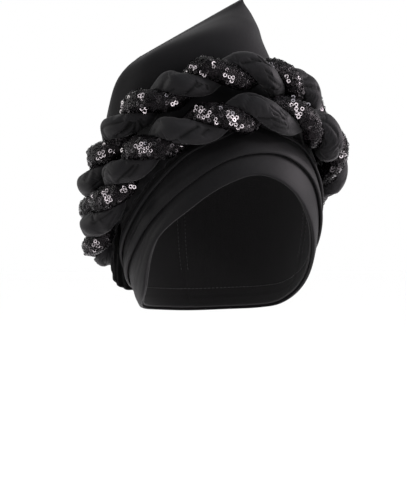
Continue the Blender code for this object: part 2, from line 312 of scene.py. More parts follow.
def value_range(tree, factor, low, high):
    """Map a factor of 0 to 1 onto a range of values."""
    node = add_node(tree, "ShaderNodeMapRange")
    node.inputs["To Min"].default_value = low
    node.inputs["To Max"].default_value = high
    tree.links.new(factor, node.inputs["Value"])
    return node.outputs["Result"]


def bump(tree, height, distance, strength, below=None):
    """Bump node, stacked on another one where given."""
    node = add_node(tree, "ShaderNodeBump")
    node.inputs["Strength"].default_value = strength
    node.inputs["Distance"].default_value = distance
    tree.links.new(height, node.inputs["Height"])
    if below is not None:
        tree.links.new(below, node.inputs["Normal"])
    return node.outputs["Normal"]


# %% Satin
THREADS_PER_CM = 22.0
# Painted shade: the near-black colour that the satin's base colour is mixed towards inside crease
# valleys.
PAINTED_CREASE_SHADE = (0.0006, 0.0006, 0.0006)


def satin_material(name, dark, light, rough_low, rough_high, weave=0.25, **values):
    """Satin with a fine one-way weave and slow drifts of tone and gloss."""
    material, tree, shader = new_material(name, **values)
    link = tree.links.new
    uv = add_node(tree, "ShaderNodeUVMap", uv_map="cloth_cm")
    place = add_node(tree, "ShaderNodeTexCoord")

    drift = add_node(tree, "ShaderNodeTexNoise", Scale=28.0, Detail=3.0)
    link(place.outputs["Object"], drift.inputs["Vector"])
    slub = add_node(tree, "ShaderNodeTexNoise", Scale=5.0, Detail=4.0)
    stretch = add_node(tree, "ShaderNodeMapping", Scale=(0.6, 9.0, 1.0))
    link(uv.outputs["UV"], stretch.inputs["Vector"])
    link(stretch.outputs["Vector"], slub.inputs["Vector"])
    blend = add_node(tree, "ShaderNodeMath", operation="MULTIPLY_ADD")
    link(slub.outputs["Fac"], blend.inputs[0])
    blend.inputs[1].default_value = 0.5
    half = add_node(tree, "ShaderNodeMath", operation="MULTIPLY")
    half.inputs[1].default_value = 0.5
    link(drift.outputs["Fac"], half.inputs[0])
    link(half.outputs["Value"], blend.inputs[2])
    # Painted shade: the crease attribute of the mesh mixes the base colour towards near black in crease
    # valleys.
    crease = add_node(tree, "ShaderNodeAttribute", attribute_name="crease")
    cloth = add_node(tree, "ShaderNodeMix", data_type="RGBA")
    link(crease.outputs["Fac"], cloth.inputs[0])
    link(two_colours(tree, blend.outputs["Value"], dark, light), cloth.inputs[6])
    cloth.inputs[7].default_value = (*PAINTED_CREASE_SHADE, 1.0)
    link(cloth.outputs[2], shader.inputs["Base Color"])
    link(value_range(tree, blend.outputs["Value"], rough_low, rough_high), shader.inputs["Roughness"])

    warp = add_node(tree, "ShaderNodeTexWave", bands_direction="Y", Scale=THREADS_PER_CM / 6.283,
                    Distortion=0.6, Detail=1.0)
    weft = add_node(tree, "ShaderNodeTexWave", bands_direction="X", Scale=THREADS_PER_CM / 9.0,
                    Distortion=0.6, Detail=1.0)
    link(uv.outputs["UV"], warp.inputs["Vector"])
    link(uv.outputs["UV"], weft.inputs["Vector"])
    fine = bump(tree, warp.outputs["Fac"], 0.00012, weave)
    fine = bump(tree, weft.outputs["Fac"], 0.00008, weave * 0.6, fine)
    soft = bump(tree, slub.outputs["Fac"], 0.0006, 0.12, fine)
    link(soft, shader.inputs["Normal"])
    return material


satin = satin_material("black_rope_satin", (0.0030, 0.0030, 0.0033), (0.0066, 0.0062, 0.0066),
                       0.48, 0.60, Specular_IOR_Level=0.028, Sheen_Weight=0.035,
                       Sheen_Roughness=0.4)
smooth = satin_material("black_smooth_satin", (0.0022, 0.0022, 0.0024), (0.0044, 0.0042, 0.0044),
                        0.48, 0.60, weave=0.18, Specular_IOR_Level=0.024, Sheen_Weight=0.006,
                        Sheen_Roughness=0.45)
pouch_satin = satin_material("black_pouch_satin", (0.0024, 0.0024, 0.0026), (0.0040, 0.0038, 0.0041),
                             0.50, 0.62, weave=0.18, Specular_IOR_Level=0.010, Sheen_Weight=0.030,
                             Sheen_Roughness=0.45)
print("satin nodes:", len(satin.node_tree.nodes))

# %% Cap jersey
def jersey_material(name):
    """Dull knitted cloth with fine upright ribs."""
    material, tree, shader = new_material(name, Specular_IOR_Level=0.05, Sheen_Weight=0.02,
                                          Sheen_Roughness=0.6)
    link = tree.links.new
    uv = add_node(tree, "ShaderNodeUVMap", uv_map="cloth_cm")
    ribs = add_node(tree, "ShaderNodeTexWave", bands_direction="Y", Scale=3.6, Distortion=0.8)
    loops = add_node(tree, "ShaderNodeTexWave", bands_direction="X", Scale=4.4, Distortion=1.5)
    fluff = add_node(tree, "ShaderNodeTexNoise", Scale=14.0, Detail=5.0)
    for node in (ribs, loops, fluff):
        link(uv.outputs["UV"], node.inputs["Vector"])
    link(two_colours(tree, fluff.outputs["Fac"], (0.0035, 0.0035, 0.0038), (0.0075, 0.0072, 0.0072)),
         shader.inputs["Base Color"])
    link(value_range(tree, fluff.outputs["Fac"], 0.75, 0.92), shader.inputs["Roughness"])
    knit = bump(tree, ribs.outputs["Fac"], 0.0003, 0.35)
    knit = bump(tree, loops.outputs["Fac"], 0.0002, 0.3, knit)
    link(bump(tree, fluff.outputs["Fac"], 0.0004, 0.3, knit), shader.inputs["Normal"])
    return material


jersey = jersey_material("black_cap_jersey")

# %% Net under the sequins, and the sequins
def sequin_ground_material(name):
    """Fine net that the sequins are sewn to, with short glints of thread."""
    material, tree, shader = new_material(name, Specular_IOR_Level=0.05)
    link = tree.links.new
    uv = add_node(tree, "ShaderNodeUVMap", uv_map="cloth_cm")
    cells = add_node(tree, "ShaderNodeTexVoronoi", Scale=9.0, feature="F1")
    link(uv.outputs["UV"], cells.inputs["Vector"])
    link(two_colours(tree, cells.outputs["Distance"], (0.006, 0.005, 0.006), (0.0015, 0.0015, 0.0015),
                     0.1, 0.6), shader.inputs["Base Color"])
    link(value_range(tree, cells.outputs["Distance"], 0.35, 0.7), shader.inputs["Roughness"])
    link(bump(tree, cells.outputs["Distance"], 0.0006, 0.8), shader.inputs["Normal"])
    return material


def sequin_material(name, dark, light, rough_low, rough_high, polish, crumple):
    """Black foil whose tone and roughness differ a little from sequin to sequin."""
    material, tree, shader = new_material(name, Specular_IOR_Level=polish,
                                          Specular_Tint=(1.0, 0.90, 0.95, 1.0))
    link = tree.links.new
    tone = add_node(tree, "ShaderNodeAttribute", attribute_name="tone")
    link(two_colours(tree, tone.outputs["Fac"], dark, light, 0.2, 0.9), shader.inputs["Base Color"])
    link(value_range(tree, tone.outputs["Fac"], rough_low, rough_high), shader.inputs["Roughness"])
    grain = add_node(tree, "ShaderNodeTexNoise", Scale=1100.0, Detail=1.0)
    place = add_node(tree, "ShaderNodeTexCoord")
    link(place.outputs["Object"], grain.inputs["Vector"])
    link(bump(tree, grain.outputs["Fac"], 0.0006, crumple), shader.inputs["Normal"])
    return material


def thread_material(name):
    """Twisted sewing thread."""
    material, tree, shader = new_material(name, Specular_IOR_Level=0.35, Roughness=0.42)
    link = tree.links.new
    place = add_node(tree, "ShaderNodeTexCoord")
    ply = add_node(tree, "ShaderNodeTexWave", bands_direction="DIAGONAL", Scale=420.0, Distortion=1.0)
    fuzz = add_node(tree, "ShaderNodeTexNoise", Scale=700.0, Detail=2.0)
    link(place.outputs["Object"], ply.inputs["Vector"])
    link(place.outputs["Object"], fuzz.inputs["Vector"])
    link(two_colours(tree, fuzz.outputs["Fac"], (0.008, 0.008, 0.008), (0.022, 0.021, 0.021)),
         shader.inputs["Base Color"])
    link(bump(tree, ply.outputs["Fac"], 0.0001, 0.5), shader.inputs["Normal"])
    return material


net = sequin_ground_material("sequin_net")
dull_foil = sequin_material("dull_black_foil", (0.0006, 0.0006, 0.0007), (0.0035, 0.0028, 0.0032),
                            0.17, 0.07, 0.055, 1.0)
bright_foil = sequin_material("bright_black_foil", (0.004, 0.004, 0.004), (0.012, 0.011, 0.012),
                              0.12, 0.16, 0.30, 0.1)
thread = thread_material("black_thread")
made = (smooth, pouch_satin, satin, jersey, net, dull_foil, bright_foil, thread)
print("materials:", [material.name for material in made])

# %% [markdown]
# ## Camera, lamps and floor
#
# The camera looks level from about 1.7 m away, 18.5 degrees round to the wearer's right. That is
# a long portrait lens, and it keeps the ropes from bulging towards the viewer.
#
# Black cloth is lit for its sheen. A white world fills in from everywhere, and six lamps draw the
# form: one on each side for the lobes, a larger one behind each side for a soft rim, a small one
# in front that the sequins mirror, and a large one above for the pouch.

# %% Camera
CAMERA_TURN = math.radians(18.5)
CAMERA_DISTANCE = 1.7
AIM_RIGHT = -0.01113
AIM_HEIGHT = -0.12613
LENS_LENGTH = 154.0
CAMERA_RIGHT = np.array([math.cos(CAMERA_TURN), -math.sin(CAMERA_TURN), 0.0])
CAMERA_FORWARD = np.array([math.sin(CAMERA_TURN), math.cos(CAMERA_TURN), 0.0])
UP = np.array([0.0, 0.0, 1.0])
camera_data = bpy.data.cameras.new("camera")
camera_data.lens = LENS_LENGTH
camera = add_object("camera", camera_data)
aim = CAMERA_RIGHT * AIM_RIGHT + UP * AIM_HEIGHT
camera.location = aim - CAMERA_FORWARD * CAMERA_DISTANCE
camera.rotation_euler = (math.radians(90.0), 0.0, -CAMERA_TURN)
bpy.context.scene.camera = camera
print("camera at", tuple(round(c, 3) for c in camera.location))

# %% Lamps, world and floor
LAMP_COLUMNS = ("name", "azimuth", "elevation", "distance", "size", "power", "colour")
LAMPS = (
    ("left_lamp", -64.0, 20.0, 1.8, 0.19, 4.6, (1.0, 1.0, 1.0)),
    ("left_rim_lamp", -124.0, 12.0, 1.7, 0.60, 17.0, (1.0, 0.98, 0.96)),
    ("front_lamp", 8.0, 10.0, 2.0, 0.28, 13.0, (1.0, 1.0, 1.0)),
    ("right_lamp", 40.0, 34.0, 1.9, 0.40, 38.0, (1.0, 0.95, 0.98)),
    ("right_rim_lamp", 82.0, 16.0, 1.7, 0.85, 84.0, (1.0, 0.92, 0.97)),
    ("top_lamp", 10.0, 62.0, 1.8, 0.90, 30.0, (0.90, 0.94, 1.0)),
)
TURBAN_MIDDLE = np.array([0.0, 0.0, -0.05])


def add_lamp(lamp):
    """Square area lamp aimed at the turban. Azimuth 0 is in front, positive to the right."""
    data = bpy.data.lights.new(lamp["name"], "AREA")
    data.size = lamp["size"]
    data.energy = lamp["power"]
    data.color = lamp["colour"]
    obj = add_object(lamp["name"], data)
    a, e = math.radians(lamp["azimuth"]), math.radians(lamp["elevation"])
    way = np.array([math.sin(a) * math.cos(e), -math.cos(a) * math.cos(e), math.sin(e)])
    obj.location = TURBAN_MIDDLE + way * lamp["distance"]
    obj.rotation_euler = (math.radians(90.0) - e, 0.0, a)
    return obj


lamps = [add_lamp(lamp) for lamp in rows_of(LAMP_COLUMNS, LAMPS)]

world = bpy.data.worlds.new("studio")
world.use_nodes = True
world.node_tree.nodes["Background"].inputs["Color"].default_value = (1.0, 1.0, 1.0, 1.0)
world.node_tree.nodes["Background"].inputs["Strength"].default_value = 1.0
bpy.context.scene.world = world
bpy.context.scene.view_settings.view_transform = "Standard"

FLOOR_DROP = 0.45
FLOOR_HALF = 30.0
floor_material, _, floor_shader = new_material("pale_floor", Roughness=0.9)
floor_shader.inputs["Base Color"].default_value = (1.0, 1.0, 1.0, 1.0)
floor_mesh = bpy.data.meshes.new("floor")
floor_corners = [(x * FLOOR_HALF, y * FLOOR_HALF, -FLOOR_DROP)
                 for x, y in ((-1, -1), (1, -1), (1, 1), (-1, 1))]
floor_mesh.from_pydata(floor_corners, [], [(0, 1, 2, 3)])
floor_mesh.materials.append(floor_material)
floor = add_object("floor", floor_mesh)

# %% [markdown]
# ## Stitches
#
# A stitch is a short length of thread that comes up out of the cloth, runs over it and dives
# back in. So each one is a tiny tube that is thick and raised in the middle, and thin and sunk
# at both ends. One helper makes a whole row of them as a single mesh.

# %% Rows of stitches
STITCH_COLUMNS = ("share", "lift", "swell")
STITCH_STATIONS = (
    (0.0, -0.3, 0.5),
    (0.2, 0.3, 0.9),
    (0.5, 0.5, 1.0),
    (0.8, 0.3, 0.9),
    (1.0, -0.3, 0.5),
)
STITCH_SIDES = 6
THREAD_THICKNESS = 0.4


def stitches(name, starts, ends, normals):
    """One mesh with a stitch from every start to its end."""
    along = unit(ends - starts)
    side = unit(np.cross(normals, along))
    up = np.cross(along, side)
    angle = 2.0 * np.pi * np.arange(STITCH_SIDES) / STITCH_SIDES
    rings = []
    for station in rows_of(STITCH_COLUMNS, STITCH_STATIONS):
        lift = up * station["lift"] * THREAD_THICKNESS
        middle = starts + (ends - starts) * station["share"] + lift
        radius = 0.5 * THREAD_THICKNESS * station["swell"]
        rings.append(middle[:, None] + side[:, None] * (radius * np.cos(angle))[None, :, None]
                     + up[:, None] * (radius * np.sin(angle))[None, :, None])
    vertices = np.stack(rings, axis=1).reshape(-1, 3)
    per = STITCH_SIDES * len(STITCH_STATIONS)
    tube = grid_faces(len(STITCH_STATIONS), STITCH_SIDES, False, True)
    faces = (np.arange(len(starts))[:, None, None] * per + tube[None]).reshape(-1, 4)
    mesh = bpy.data.meshes.new(name)
    mesh.from_pydata((vertices * MM).tolist(), [], faces.tolist())
    mesh.polygons.foreach_set("use_smooth", [True] * len(mesh.polygons))
    mesh.materials.append(thread)
    print(name, "has", len(starts), "stitches")
    return add_object(name, mesh)


# %% [markdown]
# ## The cap inside
#
# Under the wrapping is a thin stretch cap. It is seen from below and through the opening, so it
# gets a real wall with an inside, four seams that meet at the top, and a rim that is turned up
# and stitched.
#
# It could be a hemisphere that is cut with a boolean, but rows that run from the rim up to the
# top follow the hem exactly, and the knitted ribs then run up the cap as they do on a real one.

# %% Stretch cap
CAP_WALL = 1.4
CAP_RIM_ABOVE_HEM = 3.0
CAP_COLUMNS = 288
CAP_FACE_ROWS = 54
CAP_HEM_ROWS = 12
CAP_HEM_SHARE = 0.07
CAP_HEM_WIDTH = 8.0
CAP_HEM_PLY = 0.5
CAP_HEM_EDGE = 0.8
CAP_LIP = 0.7
SEAM_RIDGE = 0.7
SEAM_WIDTH = 1.3
CAP_STITCH_PITCH = 3.4
CAP_STITCH_SHARE = 0.7


def soft_step(value, start, end):
    """Smooth step from 0 to 1 between two values."""
    t = np.clip((value - start) / (end - start), 0.0, 1.0)
    return t * t * (3.0 - 2.0 * t)


def cap_inside(points, rim):
    """Move the inside of the cap inwards by its seams and its turned-up hem."""
    x, y, z = points[..., 0], points[..., 1], points[..., 2]
    ridge = SEAM_RIDGE * np.maximum(np.exp(-(x / SEAM_WIDTH) ** 2), np.exp(-(y / SEAM_WIDTH) ** 2))
    hem_end = (CAP_HEM_WIDTH - CAP_HEM_EDGE, CAP_HEM_WIDTH + CAP_HEM_EDGE)
    hem = CAP_HEM_PLY * (1.0 - soft_step(z - rim, *hem_end))
    inward = unit(np.array([0.0, 0.0, WIDEST_Z]) - points)
    return points + inward * (ridge + hem)[..., None]


def make_cap():
    """Closed dome wall: up the outside, round at the top, and down the inside."""
    bearing = np.arange(CAP_COLUMNS) * 360.0 / CAP_COLUMNS
    rim = edge("hem", bearing) + CAP_RIM_ABOVE_HEM
    share = np.concatenate([np.linspace(0.0, CAP_HEM_SHARE, CAP_HEM_ROWS),
                            np.linspace(CAP_HEM_SHARE, 0.998, CAP_FACE_ROWS)[1:]])[:, None]
    walls = []
    for offset in (CAP_WALL, 0.1):
        base = latitude_at(rim, offset)[None]
        walls.append(on_head(bearing[None], base + (0.5 * np.pi - base) * share, offset))
    outer, inner = walls[0], cap_inside(walls[1], rim)
    lip = 0.5 * (outer[:1] + inner[:1]) - UP * CAP_LIP
    rows = np.concatenate([outer, inner[::-1], lip])
    return cloth_object("stretch_cap", rows, jersey, close_rows=True), inner


def row_of_places(points, pitch):
    """Points at an even pitch along a line of points."""
    length = running_length(points)
    where = np.arange(0.5 * pitch, length[-1], pitch)
    return np.stack([np.interp(where, length, points[:, k]) for k in range(3)], axis=1)


def stitch_line(points, pitch, share):
    """Starts and ends of stitches that cover a share of each pitch along a line."""
    fine = row_of_places(points, pitch / 4.0)
    starts = fine[:-4:4]
    ends = fine[4::4][:len(starts)]
    return starts, starts + (ends - starts) * share


cap, cap_lining = make_cap()
above_rim = cap_lining[:, 0, 2] - cap_lining[0, 0, 2]
hem_row = int(np.argmax(above_rim > CAP_HEM_WIDTH - 2.0 * CAP_HEM_EDGE))
hem_line = np.concatenate([cap_lining[hem_row], cap_lining[hem_row, :1]])
starts, ends = stitch_line(hem_line, CAP_STITCH_PITCH, CAP_STITCH_SHARE)
for quarter in range(4):
    for lean in (-1, 1):
        column = (quarter * CAP_COLUMNS // 4 + 2 * lean) % CAP_COLUMNS
        seam = cap_lining[CAP_HEM_ROWS + 2:-3, column]
        more = stitch_line(seam, CAP_STITCH_PITCH, CAP_STITCH_SHARE)
        starts, ends = np.concatenate([starts, more[0]]), np.concatenate([ends, more[1]])
inward = np.array([0.0, 0.0, WIDEST_Z]) - starts
cap_stitches = stitches("cap_stitches", starts, ends, inward)
print("cap faces:", len(cap.data.polygons))

# %% [markdown]
# ## The three brow bands
#
# Each band is a strip of satin folded over at its lower edge, so that edge is a soft roll and
# not a cut line. The strip stands on the band below, sinks towards its top and runs on under the
# next band. We describe that once as a section, and sweep it round the head between two edge
# lines.
#
# Satin that is pulled round a head creases along the pull. A short table lists those creases:
# where each starts and ends, how deep it is and how wide. They are narrow valleys with a low
# swell beside them, as a real crease has.

# %% Band section and creases
LAYER_GAP = 0.7
BAND_CLOTH = 1.2
BAND_LIFT = 1.8
BAND_OVERLAP = 7.0
FOLD_THICKNESS = 2.4
BAND_COLUMNS = 360
BAND_FACE_ROWS = 26
ROLL_END = 0.35 * np.pi
ROLL_ROWS = 9
CREST_START = 0.12
CREST_LENGTH = 0.86
CREST_POWER = 1.35
BAND_FADE = 7.0
CREASE_WANDER = 0.05
CREASE_WAVES = 7.0
CREASE_FADE = 0.25
BANK_HEIGHT = 0.45
BANK_PLACE = 1.9
BANK_WIDTH = 0.9

CREASE_COLUMNS = ("band", "start_bearing", "start_share", "end_bearing", "end_share",
                  "depth", "width")
BAND_CREASES = (
    ("brow_band", -118, 0.45, -62, 0.80, 0.45, 2.2),
    ("brow_band", -96, 0.25, -40, 0.72, 0.25, 2.6),
    ("brow_band", 38, 0.70, 96, 0.40, 0.35, 2.6),
    ("brow_band", 60, 0.35, 110, 0.60, 0.35, 2.2),
    ("brow_band", 128, 0.35, 232, 0.60, 0.35, 2.2),
    ("middle_band", -128, 0.30, -55, 0.75, 0.45, 1.8),
    ("middle_band", -92, 0.70, -20, 0.40, 0.30, 2.6),
    ("middle_band", 14, 0.45, 84, 0.72, 0.35, 2.2),
    ("middle_band", 48, 0.30, 118, 0.62, 0.45, 1.8),
    ("middle_band", 140, 0.55, 225, 0.40, 0.35, 1.8),
    ("upper_band", -120, 0.30, -30, 0.60, 0.40, 1.6),
    ("upper_band", -75, 0.65, 30, 0.55, 0.30, 1.6),
    ("upper_band", 25, 0.35, 120, 0.65, 0.45, 1.6),
    ("upper_band", 135, 0.60, 230, 0.45, 0.35, 1.6),
)


def valley(distance, width):
    """A narrow valley with a low swell on each side."""
    x = distance / width
    return -np.exp(-x ** 2) + BANK_HEIGHT * np.exp(-((np.abs(x) - BANK_PLACE) / BANK_WIDTH) ** 2)


def band_creases(name, bearing, share, height):
    """Creases of one band in mm of offset."""
    total = np.zeros(np.broadcast(bearing, share).shape)
    for crease in rows_of(CREASE_COLUMNS, BAND_CREASES):
        if crease["band"] != name:
            continue
        span = crease["end_bearing"] - crease["start_bearing"]
        along = ((bearing - crease["start_bearing"]) % 360.0) / span
        line = crease["start_share"] + (crease["end_share"] - crease["start_share"]) * along
        line = line + CREASE_WANDER * np.sin(along * CREASE_WAVES)
        fade = soft_step(np.minimum(along, 1.0 - along), 0.0, CREASE_FADE)
        total += crease["depth"] * fade * valley((share - line) * height, crease["width"])
    return total


# %% Sweep the bands round the head
def make_band(name, edges, lift):
    """Band between its lower line and upper line, running on under the next band."""
    bearing = -180.0 + np.arange(BAND_COLUMNS) * 360.0 / BAND_COLUMNS
    low, high, beyond = (edge(e, bearing) for e in edges)
    height = high - low
    above = np.minimum(BAND_OVERLAP, 0.5 * (beyond - high))
    below = np.minimum(BAND_OVERLAP, 0.5 * height) if lift else np.zeros_like(low)
    seat = CAP_WALL + LAYER_GAP
    inner = seat + lift
    roll = 0.5 * FOLD_THICKNESS
    thin = seat + BAND_CLOTH
    rows = []
    for angle in np.linspace(-0.5 * np.pi, ROLL_END, ROLL_ROWS):
        rows.append(at_height(bearing, low + roll * (1.0 - math.cos(angle)),
                              inner + roll * (1.0 + math.sin(angle))))
    foot = roll / height
    for s in np.linspace(0.0, 1.0, BAND_FACE_ROWS)[1:]:
        share = foot + (1.0 - foot) * s
        crest = 1.0 - np.clip((s - CREST_START) / CREST_LENGTH, 0.0, 1.0) ** CREST_POWER
        fade = np.clip(min(s, 1.0 - s) * BAND_FADE, 0.0, 1.0)
        swell = inner + FOLD_THICKNESS - thin
        offset = thin + swell * crest + fade * band_creases(name, bearing, share, height)
        rows.append(at_height(bearing, low + height * share, offset))
    rows.append(at_height(bearing, high + above, thin))
    rows.append(at_height(bearing, high + above, seat))
    if lift:
        rows.append(at_height(bearing, low + below + roll, inner))
    return cloth_object(name + "_cloth", np.array(rows), smooth, close_rows=True)


brow_band = make_band("brow_band", ("hem", "lower_fold", "upper_fold"), 0.0)
middle_band = make_band("middle_band", ("lower_fold", "upper_fold", "top"), BAND_LIFT)
upper_band = make_band("upper_band", ("upper_fold", "top", "top"), BAND_LIFT)
print("band faces:", [len(b.data.polygons) for b in (brow_band, middle_band, upper_band)])

# %% [markdown]
# ## The crown pouch
#
# The pouch is a soft bag that rises from a round hem and ends in one straight, slanting ridge,
# like a paper bag that is pinched shut. Its rings start almost round and end as a narrow slit,
# so we list a few rings, each with its own middle, width, depth and tilt, and let smooth curves
# run through them.
#
# Cloth simulation could make it too, but the ridge and the corner have to end up in the right
# place, and rings put them there. Gathers at the hem, long slack folds and the line of stitches
# along the ridge come on top.

# %% Pouch rings
POUCH_COLUMNS = ("mid_x", "mid_y", "mid_z", "half_width", "front", "back", "roll", "lean")
POUCH_RINGS = (
    (-2.0, 14.0, -86.0, 76.0, 86.0, 84.0, 0.15, -0.78),
    (-4.0, 18.0, -71.0, 75.0, 85.5, 89.0, 0.19, -0.70),
    (-8.5, 23.0, -55.0, 70.0, 85.5, 90.0, 0.19, -0.656),
    (-11.5, 23.0, -39.0, 68.0, 86.0, 89.0, 0.20, -0.60),
    (-16.0, 20.5, -18.5, 65.5, 83.0, 83.5, 0.22, -0.52),
    (-21.5, 16.0, 5.5, 61.5, 71.0, 72.0, 0.30, -0.44),
    (-23.5, 8.0, 23.5, 58.5, 52.0, 52.0, 0.34, -0.385),
    (-24.0, 3.0, 37.5, 52.5, 30.0, 30.0, 0.44, -0.32),
    (-23.0, 0.0, 47.5, 45.0, 10.0, 10.0, 0.54, -0.10),
    (-21.5, 0.0, 50.2, 43.5, 2.5, 2.5, 0.572, 0.0),
)
POUCH_REST = 4.6
POUCH_WALL = 1.2
POUCH_POINTS = 320
POUCH_ROWS = 120


def rest_on_head(points):
    """Move points of the pouch out to where the cloth rests on the cap."""
    rise = np.where(points[..., 2] >= WIDEST_Z, HEAD_RISE, HEAD_DROP) + POUCH_REST
    heart = np.array([0.0, 0.0, WIDEST_Z])
    arm = points - heart
    reach = np.sqrt((arm[..., 0] / (HEAD_HALF_WIDTH + POUCH_REST)) ** 2
                    + (arm[..., 1] / (HEAD_HALF_DEPTH + POUCH_REST)) ** 2
                    + (arm[..., 2] / rise) ** 2)
    return heart + arm / np.minimum(reach, 1.0)[..., None]


def pouch_ring(ring, bearing):
    """Ring of the pouch, whose front and back halves have their own depth."""
    turn = np.radians(bearing)
    across = ring["half_width"] * np.sin(turn)
    depth = np.where(np.cos(turn) > 0, ring["front"], ring["back"])
    along = -depth * np.cos(turn)
    height = ring["mid_z"] + ring["roll"] * across + ring["lean"] * along
    return rest_on_head(np.stack([ring["mid_x"] + across, ring["mid_y"] + along, height], axis=-1))


# %% Pouch surface, gathers and slack folds
GATHER_COUNT = 46
GATHER_DEPTH = 1.5
GATHER_MIDDLE = 0.6
GATHER_REACH = 0.16
GATHER_WANDER = 3.0
SLACK_COLUMNS = ("start_bearing", "start_row", "end_bearing", "end_row", "height", "width", "lee")
SLACK_FOLDS = (
    (-75, 0.45, -20, 0.86, 0.9, 14.0, 14.0),
    (-40, 0.42, 40, 0.74, -1.2, 16.0, 16.0),
    (-100, 0.40, -66, 0.93, 1.0, 12.0, 12.0),
    (20, 0.50, 62, 0.92, 1.0, 12.0, 12.0),
    (104, 0.10, 132, 0.90, 2.6, 11.0, 5.0),
    (118, 0.03, 158, 0.80, 3.2, 12.0, 5.5),
    (150, 0.02, 178, 0.72, 3.4, 12.0, 5.5),
    (196, 0.02, 172, 0.80, -2.4, 13.0, 6.0),
    (206, 0.02, 190, 0.66, 3.2, 11.0, 5.0),
    (228, 0.03, 206, 0.85, 3.0, 12.0, 5.5),
    (250, 0.10, 236, 0.92, 2.4, 11.0, 5.0),
    (138, 0.05, 150, 0.42, 2.2, 7.0, 3.2),
    (182, 0.02, 186, 0.40, 2.4, 7.0, 3.2),
    (216, 0.03, 214, 0.44, 2.2, 7.0, 3.2),
    (-128, 0.00, -96, 0.22, 3.0, 13.0, 6.0),
)
SLACK_FADE_POWER = 0.7
ROW_STRETCH = 200.0
RIDGE_FADE = 9.0
RIDGE_TAPER = 8
SEAM_RISE = 0.25
SEAM_COLUMNS = ("near", "rise")
SEAM_ROWS = (
    (0.85, 0.35),
    (0.55, 0.75),
    (0.25, 0.95),
    (0.0, 1.0),
)
LINING_SHORTER = 8
STITCHED_ROW = -5
RIDGE_STITCH_PITCH = 2.9
RIDGE_STITCH_SHARE = 0.72
RIDGE_STITCH_MARGIN = 6


def surface_normals(points):
    """Normals of a grid whose columns close round."""
    along = np.gradient(points, axis=0)
    across = np.roll(points, -1, axis=1) - np.roll(points, 1, axis=1)
    normal = np.cross(across, along)
    return normal / np.maximum(np.linalg.norm(normal, axis=2, keepdims=True), 1e-9)


def pouch_surface():
    """Outer face of the pouch, from its hem to the ridge."""
    bearing = -180.0 + np.arange(POUCH_POINTS) * 360.0 / POUCH_POINTS
    rings = [at_height(bearing, edge("pouch", bearing), edge("stand", bearing))]
    rings += [pouch_ring(ring, bearing) for ring in rows_of(POUCH_COLUMNS, POUCH_RINGS)]
    rings = np.array(rings)
    spare = np.concatenate([2 * rings[:1] - rings[1:2], rings, 2 * rings[-1:] - rings[-2:-1]])
    knots = np.arange(-1, len(rings) + 1, dtype=float)
    where = np.linspace(0.0, len(rings) - 1.0, POUCH_ROWS)
    return bearing, where / where[-1], smooth_curve(knots, spare, where)


def pouch_relief(bearing, row):
    """Height of gathers and slack folds in mm over the pouch."""
    bearing, row = np.meshgrid(bearing, row)
    turn = np.radians(bearing)
    wander = 0.6 * np.sin(turn * 3.0) + 0.4 * np.sin(turn * 7.0 + 1.0)
    pleats = np.abs(np.sin(turn * GATHER_COUNT / 2.0 + GATHER_WANDER * wander))
    relief = GATHER_DEPTH * (pleats - GATHER_MIDDLE) * np.exp(-(row / GATHER_REACH) ** 2)
    for fold in rows_of(SLACK_COLUMNS, SLACK_FOLDS):
        span_b = fold["end_bearing"] - fold["start_bearing"]
        span_r = (fold["end_row"] - fold["start_row"]) * ROW_STRETCH
        x = (bearing - fold["start_bearing"] + 180.0) % 360.0 - 180.0
        y = (row - fold["start_row"]) * ROW_STRETCH
        length = math.hypot(span_b, span_r)
        along = (x * span_b + y * span_r) / length ** 2
        off = (x * span_r - y * span_b) / length
        fade = np.clip(1.0 - np.abs(2.0 * along - 1.0), 0.0, 1.0) ** SLACK_FADE_POWER
        width = np.where(off > 0, fold["width"], fold["lee"])
        relief += fold["height"] * fade * np.exp(-(off / width) ** 2)
    return relief * np.clip((1.0 - row) * RIDGE_FADE, 0.0, 1.0)


def ridge_middle(ring):
    """Line halfway between the front and the back of a ring."""
    mirror = (POUCH_POINTS // 2 - np.arange(POUCH_POINTS)) % POUCH_POINTS
    return 0.5 * (ring + ring[mirror])


def make_pouch():
    """Thin shell, open below, whose two faces meet in a stitched seam along the ridge."""
    bearing, height, outer = pouch_surface()
    outer = outer + surface_normals(outer) * pouch_relief(bearing, height)[..., None]
    normal = surface_normals(outer)
    inner = (outer - normal * POUCH_WALL)[:-LINING_SHORTER]
    middle = ridge_middle(outer[-1])
    taper = (1.0 - np.sin(np.radians(bearing)) ** RIDGE_TAPER)[:, None]
    seam = [middle + (outer[-1] - middle) * row["near"] + UP * SEAM_RISE * row["rise"] * taper
            for row in rows_of(SEAM_COLUMNS, SEAM_ROWS)]
    closed = ridge_middle(inner[-1]) + UP
    lip = 0.5 * (outer[0] + inner[0]) - 0.5 * UP
    rows = np.concatenate([lip[None], outer, np.array(seam), closed[None], inner[::-1]])
    piece = cloth_object("crown_pouch_cloth", rows, pouch_satin, close_rows=True)
    return piece, outer[STITCHED_ROW], normal[STITCHED_ROW]


pouch, ridge_ring, ridge_normal = make_pouch()
quarter, margin = POUCH_POINTS // 4, RIDGE_STITCH_MARGIN
lines = [stitch_line(ridge_ring[side], RIDGE_STITCH_PITCH, RIDGE_STITCH_SHARE)
         for side in (slice(quarter + margin, 3 * quarter - margin), slice(3 * quarter + margin, None))]
ridge_starts, ridge_ends = (np.concatenate(parts) for parts in zip(*lines))
apart = np.linalg.norm(ridge_starts[:, None] - ridge_ring[None], axis=2)
ridge_up = ridge_normal[np.argmin(apart, axis=1)]
pouch_stitches = stitches("pouch_ridge_stitches", ridge_starts, ridge_ends, ridge_up)
print("pouch faces:", len(pouch.data.polygons))

